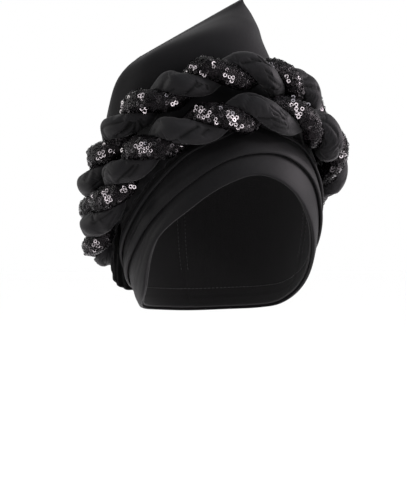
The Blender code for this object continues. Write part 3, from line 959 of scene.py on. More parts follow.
# %% [markdown]
# ## The ropes
#
# Two fat ropes run over the brow, one above the other. Each is two padded tubes, one of satin and
# one of sequinned net, turned about each other about every 60 mm. Where a tube comes to the
# front it swells into a lobe, and where it dives under its partner it is pinched into pleats.
#
# The route of a rope is a table: a centre, a radius and the number of turns made so far. A satin
# tube faces outwards at whole turns and a sequinned one at half turns, so the turn column says
# exactly where each lobe lies. Eight centres of the front rope follow points that a helper script
# worked out from pixels picked by eye, as it did for the edge lines.

# %% Rope routes
ROPE_COLUMNS = ("x", "y", "z", "radius", "turn")
TURN = ROPE_COLUMNS.index("turn")
FRONT_ROPE = (
    (-71.0, 60.0, -136.0, 3.5, -4.05),
    (-91.0, 34.0, -122.5, 11.5, -3.5),
    (-95.0, 10.5, -105.5, 14.6, -3.0),
    (-93.5, -18.5, -85.0, 15.0, -2.5),
    (-88.0, -37.0, -66.5, 15.0, -2.0),
    (-75.3, -58.0, -49.0, 15.0, -1.5),
    (-56.2, -76.5, -37.5, 15.0, -1.0),
    (-27.3, -90.2, -27.5, 15.0, -0.5),
    (1.8, -92.5, -23.0, 15.0, 0.0),
    (38.8, -83.4, -27.0, 15.0, 0.5),
    (63.6, -68.2, -38.6, 15.4, 1.08),
    (80.6, -42.0, -48.5, 14.6, 1.61),
    (91.5, -9.0, -67.5, 13.6, 2.12),
    (89.7, 16.5, -80.0, 11.0, 2.53),
    (84.0, 41.0, -90.0, 8.5, 2.9),
    (70.5, 60.5, -97.0, 3.5, 3.3),
)
REAR_ROPE = (
    (-63.5, 82.0, -121.0, 3.5, -4.2),
    (-78.5, 66.0, -109.0, 9.5, -3.8),
    (-91.0, 41.0, -91.5, 12.8, -3.45),
    (-96.5, 13.0, -73.5, 15.0, -3.0),
    (-94.5, -10.0, -52.0, 15.0, -2.5),
    (-88.5, -31.0, -33.0, 15.0, -2.0),
    (-74.7, -52.0, -15.0, 15.0, -1.5),
    (-53.0, -70.0, -3.0, 15.0, -1.0),
    (-30.7, -81.0, 7.0, 15.0, -0.5),
    (0.0, -84.0, 8.5, 15.0, 0.0),
    (27.5, -75.0, 3.0, 15.0, 0.53),
    (48.0, -58.8, -5.6, 15.2, 1.10),
    (68.6, -30.5, -18.2, 14.4, 1.61),
    (84.0, 0.0, -38.0, 14.3, 2.10),
    (85.0, 29.0, -53.0, 13.5, 2.57),
    (76.0, 53.5, -67.0, 9.5, 2.95),
    (61.8, 69.6, -79.0, 3.5, 3.35),
)
ROPE_HEART = np.array([-3.0, 20.0, -75.0])
ROPE_FLATNESS = 0.88
STRAND_OFFSET = 0.355
STRAND_RADIUS = 0.655
STRAND_HALF_GAP = 0.15
HALF_SOFTNESS = 0.004
ROUTE_STEP = 0.02
ROUTE_FINENESS = 40


def route_at(rope, turn):
    """Centre, outward, side and radius of a rope at any number of turns."""
    table = np.array(rope)
    padded = np.concatenate([table[:1], table, table[-1:]])
    knots = np.arange(-1, len(table) + 1, dtype=float)
    fine = np.linspace(0.0, len(table) - 1.0, ROUTE_FINENESS * (len(table) - 1) + 1)
    place = np.interp(turn, smooth_curve(knots, padded[:, TURN], fine), fine)

    def values(where):
        return np.stack([smooth_curve(knots, padded[:, k], where) for k in range(4)], axis=-1)

    here = values(place)
    ahead = values(np.minimum(place + ROUTE_STEP, len(table) - 1.0))[..., :3]
    behind = values(np.maximum(place - ROUTE_STEP, 0.0))[..., :3]
    tangent = unit(ahead - behind)
    outward = here[..., :3] - ROPE_HEART
    outward = unit(outward - tangent * (outward * tangent).sum(axis=-1, keepdims=True))
    return here[..., :3], outward, np.cross(tangent, outward), here[..., 3]


def strand_points(rope, half_turn, turn, around, relief=0.0):
    """Points on a strand: turn along the rope, around in radians round the strand itself."""
    turn, around, relief = np.broadcast_arrays(turn, around, relief)
    centre, outward, side, size = route_at(rope, turn)
    radius = STRAND_RADIUS + relief / size
    u = STRAND_OFFSET + radius * np.cos(around)
    u = 0.5 * (u + np.sqrt(u * u + HALF_SOFTNESS))
    v = radius * np.sin(around)
    angle = 2.0 * np.pi * (turn - 0.5 * half_turn)
    main = u * size + STRAND_HALF_GAP
    out = ROPE_FLATNESS * (main * np.cos(angle) - v * size * np.sin(angle))
    across = main * np.sin(angle) + v * size * np.cos(angle)
    return centre + outward * out[..., None] + side * across[..., None]


# %% [markdown]
# ## Satin strands
#
# A stuffed satin tube that is twisted does two things. Where it dives under its partner it is
# pinched, and pleats fan out of the pinch over the lobe. Across the lobe itself a few sharp
# creases run on the slant.
#
# Every crease is a bent line on the tube's surface. Its profile is a narrow valley with a swell
# on each side, and one side stands a little higher, as a real fold does. The creases that the
# eye meets first are listed lobe by lobe. At least two in five of the listed points follow what
# a helper script worked out from pixels picked by eye. All other creases come from a seeded
# choice, so each lobe is different but the result is always the same.

# %% Creases of the satin lobes
LOBE_LENGTH = 60.0
STRAND_GIRTH = 62.0
LOBE_COLUMNS = ("rope", "lobe", "turn_a", "around_a", "turn_b", "around_b", "turn_c", "around_c",
                "depth", "width")
LOBE_CREASES = (
    ("rear", -1, 0.27, -82, 0.17, -7, 0.04, 84, 0.9, 0.9),
    ("rear", -1, -0.05, 15, -0.12, 55, -0.22, 118, 0.35, 1.0),
    ("rear", -1, -0.03, 66, -0.08, 92, -0.14, 122, 0.5, 0.8),
    ("rear", -1, 0.31, -78, 0.26, -50, 0.20, -20, 0.8, 0.8),
    ("rear", -1, 0.35, -84, 0.35, -62, 0.33, -44, 0.8, 0.8),
    ("rear", -2, 0.27, -72, 0.16, 0, -0.04, 94, 1.2, 0.9),
    ("rear", -2, 0.28, -70, 0.22, -24, 0.05, 60, 1.3, 0.9),
    ("rear", -2, 0.31, -72, 0.27, -30, 0.15, 62, 1.1, 0.8),
    ("rear", -2, 0.35, -82, 0.32, -30, 0.24, 50, 1.0, 0.8),
    ("rear", -2, 0.38, -92, 0.37, -66, 0.36, -40, 0.8, 0.8),
    ("rear", -2, 0.24, -76, 0.08, -20, -0.16, 60, 0.7, 1.0),
    ("rear", 0, -0.20, 106, -0.11, 66, 0.02, -7, 0.9, 0.9),
    ("rear", 0, -0.12, 56, 0.01, 0, 0.11, -38, 0.8, 0.9),
    ("rear", 0, -0.03, -9, 0.03, -18, 0.09, -24, 0.8, 0.8),
    ("rear", 0, 0.03, 36, 0.09, 14, 0.13, -6, 0.8, 0.8),
    ("rear", 0, 0.34, -84, 0.22, -20, 0.05, 44, 0.7, 0.9),
    ("rear", 0, 0.36, -92, 0.28, -20, 0.16, 40, 0.7, 0.9),
    ("rear", 1, -0.20, 100, -0.10, 38, -0.03, -30, 0.9, 0.9),
    ("rear", 1, -0.17, 118, -0.06, 66, 0.04, 10, 0.9, 0.9),
    ("front", -1, 0.24, -96, 0.15, -38, 0.00, 62, 1.1, 0.9),
    ("front", -1, 0.00, 62, -0.06, 92, -0.12, 116, 1.0, 0.9),
    ("front", -1, 0.34, -104, 0.29, -80, 0.24, -40, 0.8, 0.8),
    ("front", -1, -0.12, 20, -0.22, 70, -0.30, 110, 0.3, 1.2),
    ("front", -2, 0.30, -102, 0.12, -12, -0.11, 110, 1.0, 0.9),
    ("front", -2, -0.06, -14, -0.14, 20, -0.24, 72, 1.0, 0.9),
    ("front", -2, 0.33, -100, 0.26, -60, 0.12, 10, 0.8, 0.8),
    ("front", 0, -0.17, 24, -0.07, -4, 0.00, -16, 0.7, 0.8),
    ("front", 0, -0.10, 112, 0.00, 66, 0.15, -30, 0.8, 0.8),
    ("front", 0, 0.02, -2, 0.09, -26, 0.15, -42, 0.9, 0.7),
    ("front", 0, 0.05, 14, 0.12, -18, 0.20, -48, 0.9, 0.7),
    ("front", 0, 0.03, 46, 0.13, 6, 0.23, -38, 0.7, 0.7),
    ("front", 0, 0.06, 60, 0.17, 10, 0.27, -44, 0.7, 0.7),
    ("front", 0, 0.12, -60, 0.17, -66, 0.22, -74, 0.7, 0.7),
    ("front", 1, -0.31, 92, -0.22, 40, -0.12, 0, 0.9, 0.9),
    ("front", 1, -0.28, 112, -0.11, 66, 0.00, 30, 0.8, 1.0),
    ("front", 1, -0.10, 132, -0.06, 120, -0.02, 106, 0.9, 0.8),
    ("front", 1, 0.33, -90, 0.20, -30, 0.05, 30, 0.7, 1.0),
)
CREASE_STRENGTH = 1.5
CREASE_END = 0.12
VALLEY_POWER = 1.3
CREASE_SWELL = 0.15
SWELL_PLACE = 2.4
SWELL_WIDTH = 1.5
STEP_HEIGHT = 0.12
STEP_WIDTH = 2.6
# Width of the shade painted along a crease valley, as a share of the crease's width.
PAINTED_SHADE_WIDTH = 0.75
FAN_CREASES = 6
FAN_SEED = 7
FAN_START = -112.0
FAN_SPREAD = 70.0
FAN_JITTER = 4
FAN_REACH = (0.14, 0.30)
FAN_DROP = (50, 110)
FAN_BEND = 0.35
FAN_TURN = (0.40, 0.47)
FAN_DEPTH = (0.45, 0.85)
FAN_WIDTH = (0.8, 1.2)


def bent_line(crease, count=9):
    """Points of a crease in mm on the flat cloth: along the strand and round it."""
    u = np.linspace(0.0, 1.0, count)
    bend = 4.0 * u * (1.0 - u)
    ends = 1.0 - u
    line = []
    for key, scale in (("turn", LOBE_LENGTH), ("around", STRAND_GIRTH / 360.0)):
        a, b, c = (crease[key + k] for k in ("_a", "_b", "_c"))
        line.append((a * ends + c * u + bend * (b - 0.5 * (a + c))) * scale)
    return np.stack(line, axis=1)


def crease_relief(crease, x, y):
    """Relief of one crease at points in mm on the flat cloth, and the painted shade in its valley from
    0 to 1.
    """
    line = bent_line(crease)
    best = np.full(x.shape, 1e9)
    signed = np.zeros(x.shape)
    share = np.zeros(x.shape)
    for k in range(len(line) - 1):
        dx, dy = line[k + 1] - line[k]
        length = math.hypot(dx, dy)
        t = np.clip(((x - line[k, 0]) * dx + (y - line[k, 1]) * dy) / length ** 2, 0.0, 1.0)
        ex, ey = x - line[k, 0] - t * dx, y - line[k, 1] - t * dy
        distance = np.hypot(ex, ey)
        nearer = distance < best
        best = np.where(nearer, distance, best)
        signed = np.where(nearer, np.sign(dx * ey - dy * ex), signed)
        share = np.where(nearer, (k + t) / (len(line) - 1), share)
    width = crease["width"]
    fade = crease["depth"] * soft_step(np.minimum(share, 1.0 - share), 0.0, CREASE_END)
    valley_part = -np.exp(-(best / width) ** VALLEY_POWER)
    off_swell = (best - SWELL_PLACE * width) / (SWELL_WIDTH * width)
    swell_part = CREASE_SWELL * np.exp(-off_swell ** 2)
    step_part = STEP_HEIGHT * signed * np.exp(-best / (STEP_WIDTH * width))
    relief = CREASE_STRENGTH * fade * (valley_part + swell_part + step_part)
    # The second value is painted shade: it darkens the base colour along the valley.
    return relief, np.clip(fade, 0.0, 1.0) * np.exp(-(best / (PAINTED_SHADE_WIDTH * width)) ** 2)


def fan_of_creases(rope_name, lobes):
    """Seeded creases that fan out of the pinches at both ends of every lobe."""
    rng = np.random.default_rng(FAN_SEED + len(rope_name))
    fans = []
    for lobe in lobes:
        for k in range(FAN_CREASES):
            jitter = rng.uniform(-FAN_JITTER, FAN_JITTER)
            start = FAN_START + FAN_SPREAD * (k + 0.5) / FAN_CREASES + jitter
            reach = rng.uniform(*FAN_REACH)
            drop = rng.uniform(*FAN_DROP)
            sign = 1 if k % 2 == 0 else -1
            turn_a = sign * rng.uniform(*FAN_TURN)
            fans.append(dict(zip(LOBE_COLUMNS, (
                rope_name, lobe, turn_a, sign * start,
                turn_a - sign * 0.5 * reach, sign * (start + FAN_BEND * drop),
                turn_a - sign * reach, sign * (start + drop),
                rng.uniform(*FAN_DEPTH), rng.uniform(*FAN_WIDTH)))))
    return fans


# %% Relief of a satin strand
LOBE_SWELL = 1.1
LOBE_REACH = 0.62
TAIL_TURNS = 0.22
LOBE_SHIFT = 0.1
LOBE_FLOOR = -0.3
TAIL_PLEAT_DEPTH = 0.5
TAIL_PLEATS = 4.5
TAIL_TWIST = 3.0


def strand_relief(rope_name, turn, around):
    """Fuller lobes, fans of pleats and creases, in mm, and the painted crease shade from 0 to 1."""
    relief = LOBE_SWELL * np.maximum(np.cos(2.0 * np.pi * turn) - LOBE_SHIFT, LOBE_FLOOR)
    listed = rows_of(LOBE_COLUMNS, LOBE_CREASES)
    shown = {(c["rope"], c["lobe"]) for c in listed}
    lobes = range(math.ceil(turn.min()), math.floor(turn.max()) + 1)
    hidden = [k for k in lobes if (rope_name, k) not in shown]
    creases = [c for c in listed if c["rope"] == rope_name] + fan_of_creases(rope_name, hidden)
    # depth collects the painted shade of the creases, which darkens the satin's base colour.
    depth = np.zeros_like(relief)
    for crease in creases:
        rows = np.abs(turn[:, 0] - crease["lobe"]) < LOBE_REACH
        x = (turn[rows] - crease["lobe"]) * LOBE_LENGTH + 0.0 * around
        y = np.degrees(around) * STRAND_GIRTH / 360.0 + 0.0 * x
        folded, dark = crease_relief(crease, x, y)
        relief[rows] += folded
        depth[rows] = np.maximum(depth[rows], dark)
    ends = np.minimum(turn - turn.min(), turn.max() - turn)
    tail = np.exp(-(ends / TAIL_TURNS) ** 2)
    pleats = np.abs(np.sin(TAIL_PLEATS * around + TAIL_TWIST * ends))
    relief = relief * (1.0 - tail) + TAIL_PLEAT_DEPTH * tail * pleats
    return relief, depth * (1.0 - tail)


# %% [markdown]
# ## Let the padding swell
#
# Satin round wadding is never as smooth as a tube. The sleeve is cut a little longer than the
# wadding, so it buckles into small soft wrinkles that end in the pinches. That is hard to draw
# and easy to simulate, so we do what the cloth does: a coarse copy of the strand, whose cloth is
# a few per cent too long, is pumped up slightly while its pinched and hidden parts are held.
#
# The copy is ten times larger than life, because the solver is tuned for metres and not for
# millimetres. We keep only how far each point moved, limit it, and add it to the fine strand.

# %% Cloth simulation of a strand
PUFF_ROWS_PER_TURN = 44
PUFF_COLUMNS = 44
PUFF_SCALE = 0.01
PUFF_FRAMES = 20
PUFF_PRESSURE = 3.0
PUFF_SPARE_CLOTH = 0.05
PUFF_LIMIT = 0.55
PUFF_START = 0.6
PINCH_EDGE = 0.1
PINCH_HOLD = 2.0
HIDDEN_EDGE = 0.35
HIDDEN_HOLD = 4.0
PUFF_CLOTH = {"quality": 4, "mass": 0.2, "air_damping": 3.0, "use_pressure": True,
              "uniform_pressure_force": PUFF_PRESSURE, "shrink_min": -PUFF_SPARE_CLOTH,
              "tension_stiffness": 15.0, "compression_stiffness": 15.0,
              "shear_stiffness": 5.0, "bending_stiffness": 0.1}


def held_points(turn, around):
    """How firmly each point is held: fully in the pinches and on the side that doesn't show."""
    pinch = (PINCH_EDGE - np.cos(2.0 * np.pi * turn)) * PINCH_HOLD + 0.0 * around
    hidden = (-np.cos(around) - HIDDEN_EDGE) * HIDDEN_HOLD + 0.0 * turn
    return np.clip(np.maximum(pinch, hidden), 0.0, 1.0)


def puff(points, hold):
    """Where the points of a strand move to when its cloth is too long and its air presses."""
    rows, columns = points.shape[:2]
    mesh = bpy.data.meshes.new("puff")
    faces = grid_faces(rows, columns, False, True).tolist()
    faces.append(list(range(columns))[::-1])
    faces.append(list(range((rows - 1) * columns, rows * columns)))
    mesh.from_pydata((points.reshape(-1, 3) * PUFF_SCALE).tolist(), [], faces)
    piece = add_object("puff", mesh)
    group = piece.vertex_groups.new(name="held")
    for k, weight in enumerate(hold.ravel()):
        if weight > 0.0:
            group.add([k], float(weight), "REPLACE")
    cloth = piece.modifiers.new("cloth", "CLOTH")
    for key, value in PUFF_CLOTH.items():
        setattr(cloth.settings, key, value)
    cloth.settings.vertex_group_mass = "held"
    cloth.settings.effector_weights.gravity = 0.0
    cloth.collision_settings.use_collision = False
    cloth.collision_settings.use_self_collision = False
    cloth.point_cache.frame_start = 1
    cloth.point_cache.frame_end = PUFF_FRAMES
    for number in range(1, PUFF_FRAMES + 1):
        bpy.context.scene.frame_set(number)
    worn = piece.evaluated_get(bpy.context.evaluated_depsgraph_get()).data
    moved = np.empty(3 * rows * columns, dtype=np.float32)
    worn.vertices.foreach_get("co", moved)
    bpy.data.objects.remove(piece)
    bpy.context.scene.frame_set(1)
    return moved.reshape(rows, columns, 3).astype(float) / PUFF_SCALE


def limited(moves, limit):
    """Shorten moves smoothly so that none is longer than a limit."""
    length = np.linalg.norm(moves, axis=-1, keepdims=True)
    return moves * limit * np.tanh(length / limit) / np.maximum(length, 1e-9)


def spread_to_fine(moves, turn_from, turn_to, columns):
    """Interpolate moves from a coarse strand grid to a fine one."""
    wrapped = np.concatenate([moves, moves[:, :1]], axis=1)
    where = np.arange(columns) * (wrapped.shape[1] - 1) / columns
    low = where.astype(int)
    part = (where - low)[None, :, None]
    across = wrapped[:, low] * (1.0 - part) + wrapped[:, low + 1] * part
    row = np.interp(turn_to, turn_from, np.arange(len(turn_from)))
    low = np.minimum(row.astype(int), len(turn_from) - 2)
    part = (row - low)[:, None, None]
    return across[low] * (1.0 - part) + across[low + 1] * part


def wrinkle_moves(rope_name, rope, turn_to, columns):
    """Moves in mm that wrinkle a strand, worked out by cloth simulation."""
    turn, around = strand_grid(rope, PUFF_ROWS_PER_TURN, PUFF_COLUMNS)
    relief = strand_relief(rope_name, turn + 0.0 * around, around)[0]
    start = strand_points(rope, 0, turn, around, relief - PUFF_START)
    moves = limited(puff(start, held_points(turn, around)) - start, PUFF_LIMIT)
    print(rope_name, "wrinkles: mean move %.2f mm" % np.linalg.norm(moves, axis=-1).mean())
    return spread_to_fine(moves, turn[:, 0], turn_to[:, 0], columns)


# %% Make the strands
SATIN_ROWS_PER_TURN = 108
SATIN_COLUMNS = 112
NET_ROWS_PER_TURN = 40
NET_COLUMNS = 48
NET_SINK = 0.5
NET_RIPPLE = 0.3
RIPPLES_ROUND = 5.0
RIPPLES_ALONG = 9.0
NET_SLACK = 0.4
FULLER_COLUMNS = ("rope", "half_turn", "turn", "reach", "swell")
FULLER_SPOTS = (
    ("front", 1, 2.03, 0.16, 3.0),
    ("front", 0, -3.66, 0.22, 3.8),
    ("front", 1, -3.20, 0.20, 1.5),
    ("rear", 0, 1.06, 0.22, 2.4),
    ("rear", 1, 1.55, 0.16, -2.6),
    ("front", 0, 1.14, 0.18, 1.4),
    ("rear", 0, 0.57, 0.12, 1.8),
    ("front", 1, 0.27, 0.10, 1.2),
)


def fuller(rope_name, half_turn, turn):
    """Extra swell where a lobe is stuffed fuller than its neighbours, in mm."""
    swell = 0.0 * turn
    for spot in rows_of(FULLER_COLUMNS, FULLER_SPOTS):
        if spot["rope"] == rope_name and spot["half_turn"] == half_turn:
            swell = swell + spot["swell"] * np.exp(-((turn - spot["turn"]) / spot["reach"]) ** 2)
    return swell


def strand_grid(rope, rows_per_turn, columns):
    """Turns and angles of the grid of one strand."""
    first, last = rope[0][TURN], rope[-1][TURN]
    turn = np.linspace(first, last, int((last - first) * rows_per_turn))[:, None]
    around = (-np.pi + 2.0 * np.pi * np.arange(columns) / columns)[None, :]
    return turn, around


def make_satin_strand(rope_name, rope):
    """Padded satin tube with its pleats and creases."""
    turn, around = strand_grid(rope, SATIN_ROWS_PER_TURN, SATIN_COLUMNS)
    # crease is the shade painted along the crease valleys, stored for the satin's base colour.
    relief, crease = strand_relief(rope_name, turn + 0.0 * around, around)
    points = strand_points(rope, 0, turn, around, relief + fuller(rope_name, 0, turn))
    points = points + wrinkle_moves(rope_name, rope, turn, SATIN_COLUMNS)
    return cloth_object(rope_name + "_satin_strand", points, satin, caps=True, crease=crease)


def net_relief(rope_name, turn, around):
    """Soft ripples of the net, which is less full than the satin."""
    ripple = NET_RIPPLE * np.sin(RIPPLES_ROUND * around + RIPPLES_ALONG * turn)
    slack = NET_SLACK * np.cos(2.0 * np.pi * turn)
    return ripple - slack - NET_SINK + fuller(rope_name, 1, turn)


def make_net_strand(rope_name, rope):
    """Tube of net that carries the sequins."""
    turn, around = strand_grid(rope, NET_ROWS_PER_TURN, NET_COLUMNS)
    points = strand_points(rope, 1, turn, around, net_relief(rope_name, turn, around))
    return cloth_object(rope_name + "_net_strand", points, net, caps=True)


front_satin = make_satin_strand("front", FRONT_ROPE)
rear_satin = make_satin_strand("rear", REAR_ROPE)
front_net = make_net_strand("front", FRONT_ROPE)
rear_net = make_net_strand("rear", REAR_ROPE)
print("strand faces:", len(front_satin.data.polygons), len(rear_satin.data.polygons))

# %% [markdown]
# ## Sequins
#
# The sequins are flat rings 3.2 mm across with a hole in the middle, sewn in offset rows.
# Each tips a little on its thread, and that is what makes the cloth sparkle: only the few that
# happen to face a lamp flash white, and the rest stay dark. One in ten is glossier than the
# others, as foil is where it has lain flat.
#
# Thousands of objects would be slow, so all the rings of one strand are one mesh. We work out
# where each ring sits and how it tips, then copy one small ring of faces to all those places
# with array sums.
#
# On real cloth the flashes come in clusters, where a patch lies just right. A short table says
# where such patches are, as pixels read off the photograph. We look through each pixel
# and take the point of the strand that is met first. There the rings are tipped half-way between
# the eye and the lamp that asks for the least tipping, as a stylist does by hand until the cloth
# catches the light.

# %% Sequin tables
SEQUIN_RADIUS = 1.6
SEQUIN_HOLE = 0.82
SEQUIN_SIDES = 12
SEQUIN_PITCH = 2.9
SEQUIN_TIP = 11.0
WILD_SHARE = 0.16
WILD_TIP = 2.6
SEQUIN_SPREAD = 128.0
SEQUIN_ROW_SHARE = 0.87
SEQUIN_END_GAP = 0.06
SEQUIN_REST = 0.35
SEQUIN_STEPS = 4000
SEQUIN_LIFT = (-0.15, 0.25)
TURN_JITTER = 0.0035
ANGLE_JITTER = 0.025
FRONT_SEED = 11
REAR_SEED = 23
SMALL_TURN = 0.004
SMALL_ANGLE = 0.04
SPARKLE_APART = 2.4
SPARKLE_LIFT = 0.5
SPARKLE_WOBBLE = 0.016
GLOSSY_SHARE = 0.10
PHOTO_WIDTH = 407
PHOTO_HEIGHT = 500
PIXEL_REACH = 1.4
LOOK_ROWS = 1200
LOOK_ANGLE = 2.0
SPARKLE_COLUMNS = ("rope", "pixel_x", "pixel_y", "reach", "share")
SPARKLES = (
    ("front", 197, 108, 3.8, 1.0),
    ("front", 203, 113, 4.4, 1.0),
    ("front", 216, 122, 1.8, 1.0),
    ("front", 232, 114, 3.0, 1.0),
    ("front", 236, 121, 4.0, 1.0),
    ("front", 242, 128, 2.2, 1.0),
    ("front", 141, 150, 3.6, 1.0),
    ("front", 145, 146, 3.4, 0.9),
    ("front", 138, 147, 4.0, 0.9),
    ("front", 121, 150, 2.0, 1.0),
    ("front", 150, 151, 1.8, 1.0),
    ("front", 182, 144, 2.2, 1.0),
    ("front", 104, 193, 2.4, 1.0),
    ("front", 108, 200, 3.4, 0.9),
    ("front", 89, 203, 2.4, 1.0),
    ("front", 93, 195, 2.0, 1.0),
    ("front", 123, 191, 2.4, 0.9),
    ("front", 134, 186, 2.2, 1.0),
    ("front", 95, 245, 3.2, 1.0),
    ("front", 98, 239, 2.8, 1.0),
    ("front", 93, 249, 2.2, 0.9),
    ("front", 294, 103, 3.0, 0.9),
    ("front", 301, 112, 4.6, 0.7),
    ("front", 296, 97, 2.2, 1.0),
    ("front", 306, 138, 2.4, 0.8),
    ("front", 343, 156, 3.0, 0.6),
    ("rear", 140, 95, 2.4, 0.9),
    ("rear", 143, 111, 3.0, 0.9),
    ("rear", 121, 104, 2.4, 0.9),
    ("rear", 120, 112, 2.4, 0.9),
    ("rear", 176, 103, 2.0, 1.0),
    ("rear", 101, 154, 3.4, 0.9),
    ("rear", 98, 158, 2.2, 0.9),
    ("rear", 111, 152, 2.4, 0.9),
    ("rear", 190, 66, 1.8, 1.0),
    ("rear", 195, 66, 1.8, 1.0),
    ("rear", 200, 72, 1.8, 1.0),
    ("rear", 204, 76, 1.8, 1.0),
    ("rear", 215, 63, 1.8, 1.0),
    ("rear", 225, 78, 1.7, 1.0),
    ("rear", 234, 79, 2.8, 1.0),
    ("rear", 287, 81, 2.4, 0.9),
    ("rear", 293, 79, 2.4, 0.9),
    ("rear", 281, 75, 2.0, 0.9),
)


# %% Places of the sequins
def sequin_places(rope, seed):
    """Turns and angles of the sequins of one strand, in offset rows."""
    rng = np.random.default_rng(seed)
    first, last = rope[0][TURN] + SEQUIN_END_GAP, rope[-1][TURN] - SEQUIN_END_GAP
    steps = np.linspace(first, last, SEQUIN_STEPS)
    centre = strand_points(rope, 1, steps, np.zeros_like(steps))
    length = running_length(centre)
    places = []
    pitch_along = SEQUIN_PITCH * SEQUIN_ROW_SHARE
    for k in range(int(length[-1] / pitch_along)):
        turn = np.interp((k + 0.5) * pitch_along, length, steps)
        size = route_at(rope, np.array([turn]))[3][0]
        girth = 2.0 * np.pi * STRAND_RADIUS * size * SEQUIN_SPREAD / 180.0
        count = max(int(girth / SEQUIN_PITCH), 2)
        for j in range(count):
            share = (j + 0.5 + 0.5 * (k % 2)) / count * 2.0 - 1.0
            places.append((turn, math.radians(SEQUIN_SPREAD) * share))
    places = np.array(places)
    places[:, 0] += rng.normal(0.0, TURN_JITTER, len(places))
    places[:, 1] += rng.normal(0.0, ANGLE_JITTER, len(places))
    return places[:, 0], places[:, 1], rng


def ray_through(pixel_x, pixel_y):
    """Direction from the camera through a pixel of the photograph."""
    focal = camera_data.lens / camera_data.sensor_width * PHOTO_HEIGHT
    across = (pixel_x - 0.5 * PHOTO_WIDTH) / focal
    up = (0.5 * PHOTO_HEIGHT - pixel_y) / focal
    return unit(CAMERA_FORWARD + CAMERA_RIGHT * across + UP * up)


def first_met(surface, eye, ray):
    """The point of a surface that a look along a ray meets first."""
    offset = surface - eye
    depth = offset @ ray
    aside = np.linalg.norm(offset - depth[:, None] * ray, axis=1)
    return surface[np.argmin(np.where(aside < PIXEL_REACH, depth, np.inf))]


def sparkle_normals(rope_name, rope, here, normal, rng):
    """Tip the rings of the sparkling patches half-way between the camera and a lamp."""
    lamp_spots = np.array([np.array(lamp.location) / MM for lamp in lamps])
    eye = np.array(camera.location) / MM
    turn = np.linspace(rope[0][TURN], rope[-1][TURN], LOOK_ROWS)[:, None]
    around = np.radians(np.arange(-180.0, 180.0, LOOK_ANGLE))[None]
    surface = strand_points(rope, 1, turn, around).reshape(-1, 3)
    bright = np.zeros(len(here), dtype=bool)
    for patch in rows_of(SPARKLE_COLUMNS, SPARKLES):
        if patch["rope"] != rope_name:
            continue
        spot = first_met(surface, eye, ray_through(patch["pixel_x"], patch["pixel_y"]))
        chosen = np.linalg.norm(here - spot, axis=1) < patch["reach"]
        chosen &= rng.random(len(here)) < patch["share"]
        for i in np.flatnonzero(chosen):
            to_eye = unit(eye - here[i])
            others = here[bright] - here[i]
            others = others - to_eye * (others @ to_eye)[:, None]
            if np.any(np.linalg.norm(others, axis=1) < SPARKLE_APART):
                continue
            bright[i] = True
            halves = unit(to_eye + unit(lamp_spots - here[i]))
            best = np.argmax(halves @ (normal[i] + to_eye))
            normal[i] = halves[best] + rng.normal(0.0, SPARKLE_WOBBLE, 3)
    print(rope_name, "rings that flash:", int(bright.sum()))
    return normal, bright


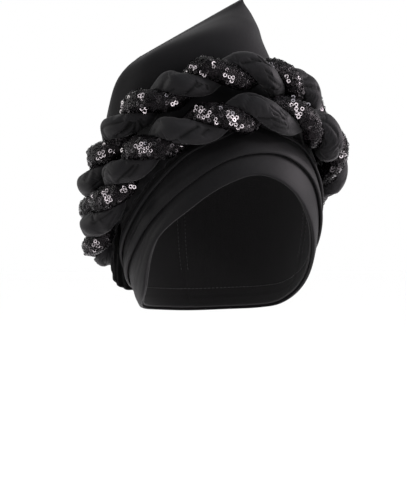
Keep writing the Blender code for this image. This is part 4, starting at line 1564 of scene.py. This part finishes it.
# %% Ring sequins
def make_sequins(rope_name, rope, seed):
    """All the sequins of one strand in one mesh."""
    turn, around, rng = sequin_places(rope, seed)
    count = len(turn)
    rest = net_relief(rope_name, turn, around) + SEQUIN_REST
    here = strand_points(rope, 1, turn, around, rest)
    along = unit(strand_points(rope, 1, turn + SMALL_TURN, around, rest) - here)
    across = strand_points(rope, 1, turn, around + SMALL_ANGLE, rest) - here
    normal = unit(np.cross(along, across))
    centre = route_at(rope, turn)[0]
    normal *= np.sign((normal * (here - centre)).sum(axis=1, keepdims=True))
    side = np.cross(normal, along)
    wild = np.where(rng.random(count) < WILD_SHARE, WILD_TIP, 1.0)[:, None]
    tips = np.tan(np.radians(rng.normal(0.0, SEQUIN_TIP, (count, 2)) * wild))
    normal = unit(normal + along * tips[:, :1] + side * tips[:, 1:])
    normal, bright = sparkle_normals(rope_name, rope, here, normal, rng)
    along = unit(along - normal * (along * normal).sum(axis=1, keepdims=True))
    side = np.cross(normal, along)
    lift = (rng.uniform(*SEQUIN_LIFT, count) + SPARKLE_LIFT * bright)[:, None]
    glossy = bright | (rng.random(count) < GLOSSY_SHARE)
    here = here + normal * lift
    angle = 2.0 * np.pi * np.arange(SEQUIN_SIDES) / SEQUIN_SIDES
    vertices = np.concatenate([
        here[:, None] + along[:, None] * (r * np.cos(angle))[None, :, None]
        + side[:, None] * (r * np.sin(angle))[None, :, None]
        for r in (SEQUIN_HOLE, SEQUIN_RADIUS)], axis=1)
    ring = grid_faces(2, SEQUIN_SIDES, False, True)
    faces = (np.arange(count)[:, None, None] * 2 * SEQUIN_SIDES + ring[None]).reshape(-1, 4)
    mesh = bpy.data.meshes.new(rope_name + "_sequins")
    mesh.from_pydata((vertices.reshape(-1, 3) * MM).tolist(), [], faces.tolist())
    tone = mesh.attributes.new("tone", "FLOAT", "FACE")
    tone.data.foreach_set("value", np.repeat(rng.random(count) ** 2, len(ring)).astype(np.float32))
    mesh.materials.append(dull_foil)
    mesh.materials.append(bright_foil)
    mesh.polygons.foreach_set("material_index", np.repeat(glossy, len(ring)).astype(np.int32))
    mesh.update()
    print(mesh.name, "has", count, "rings")
    return add_object(mesh.name, mesh)


front_sequins = make_sequins("front", FRONT_ROPE, FRONT_SEED)
rear_sequins = make_sequins("rear", REAR_ROPE, REAR_SEED)

# %% [markdown]
# ## Which plain piece each made piece stands for
#
# The turban is one soft body, so everything rides on its root. Each made piece hides the plain
# one that it stands for, and the table lists which cloth of the record it is cut from.

# %% Ride and replace
CAP_NODES = ("cap_front_left", "cap_front_right", "cap_back_left", "cap_back_right")
DRESSED = (
    (cap, CAP_NODES, "cap_cloth"),
    (cap_stitches, CAP_NODES, "cap_cloth"),
    (brow_band, ("brow_band",), "satin"),
    (middle_band, ("middle_band",), "satin"),
    (upper_band, ("upper_band",), "satin"),
    (pouch, ("crown_pouch",), "satin"),
    (pouch_stitches, ("crown_pouch",), "satin"),
    (front_satin, ("front_rope_satin",), "satin"),
    (rear_satin, ("rear_rope_satin",), "satin"),
    (front_net, ("front_rope_sequin",), "sequin_cloth"),
    (rear_net, ("rear_rope_sequin",), "sequin_cloth"),
    (front_sequins, ("front_rope_sequin",), "sequin_cloth"),
    (rear_sequins, ("rear_rope_sequin",), "sequin_cloth"),
)
for piece, nodes, slot_name in DRESSED:
    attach(piece, "root")
    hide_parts(*nodes)
print("dressed pieces:", len(DRESSED))

# %% [markdown]
# ## How much cloth each piece has when worn
#
# Cloth is cut flat. The cap is four gores that make a dome, the bands are strips cut a little
# shorter than the head is round, and the bag of the pouch is one wide piece, longer at the back
# than over the brow. Its area is less than its rectangle for that reason. We print the area
# that the worn cloth has, in square metres.


def half_area(piece):
    """Area of one face of a closed cloth wall, in square metres."""
    return 0.5 * sum(face.area for face in piece.data.polygons)


for piece in (cap, brow_band, middle_band, upper_band, pouch):
    print(piece.name, "cloth area %.4f m2" % half_area(piece))
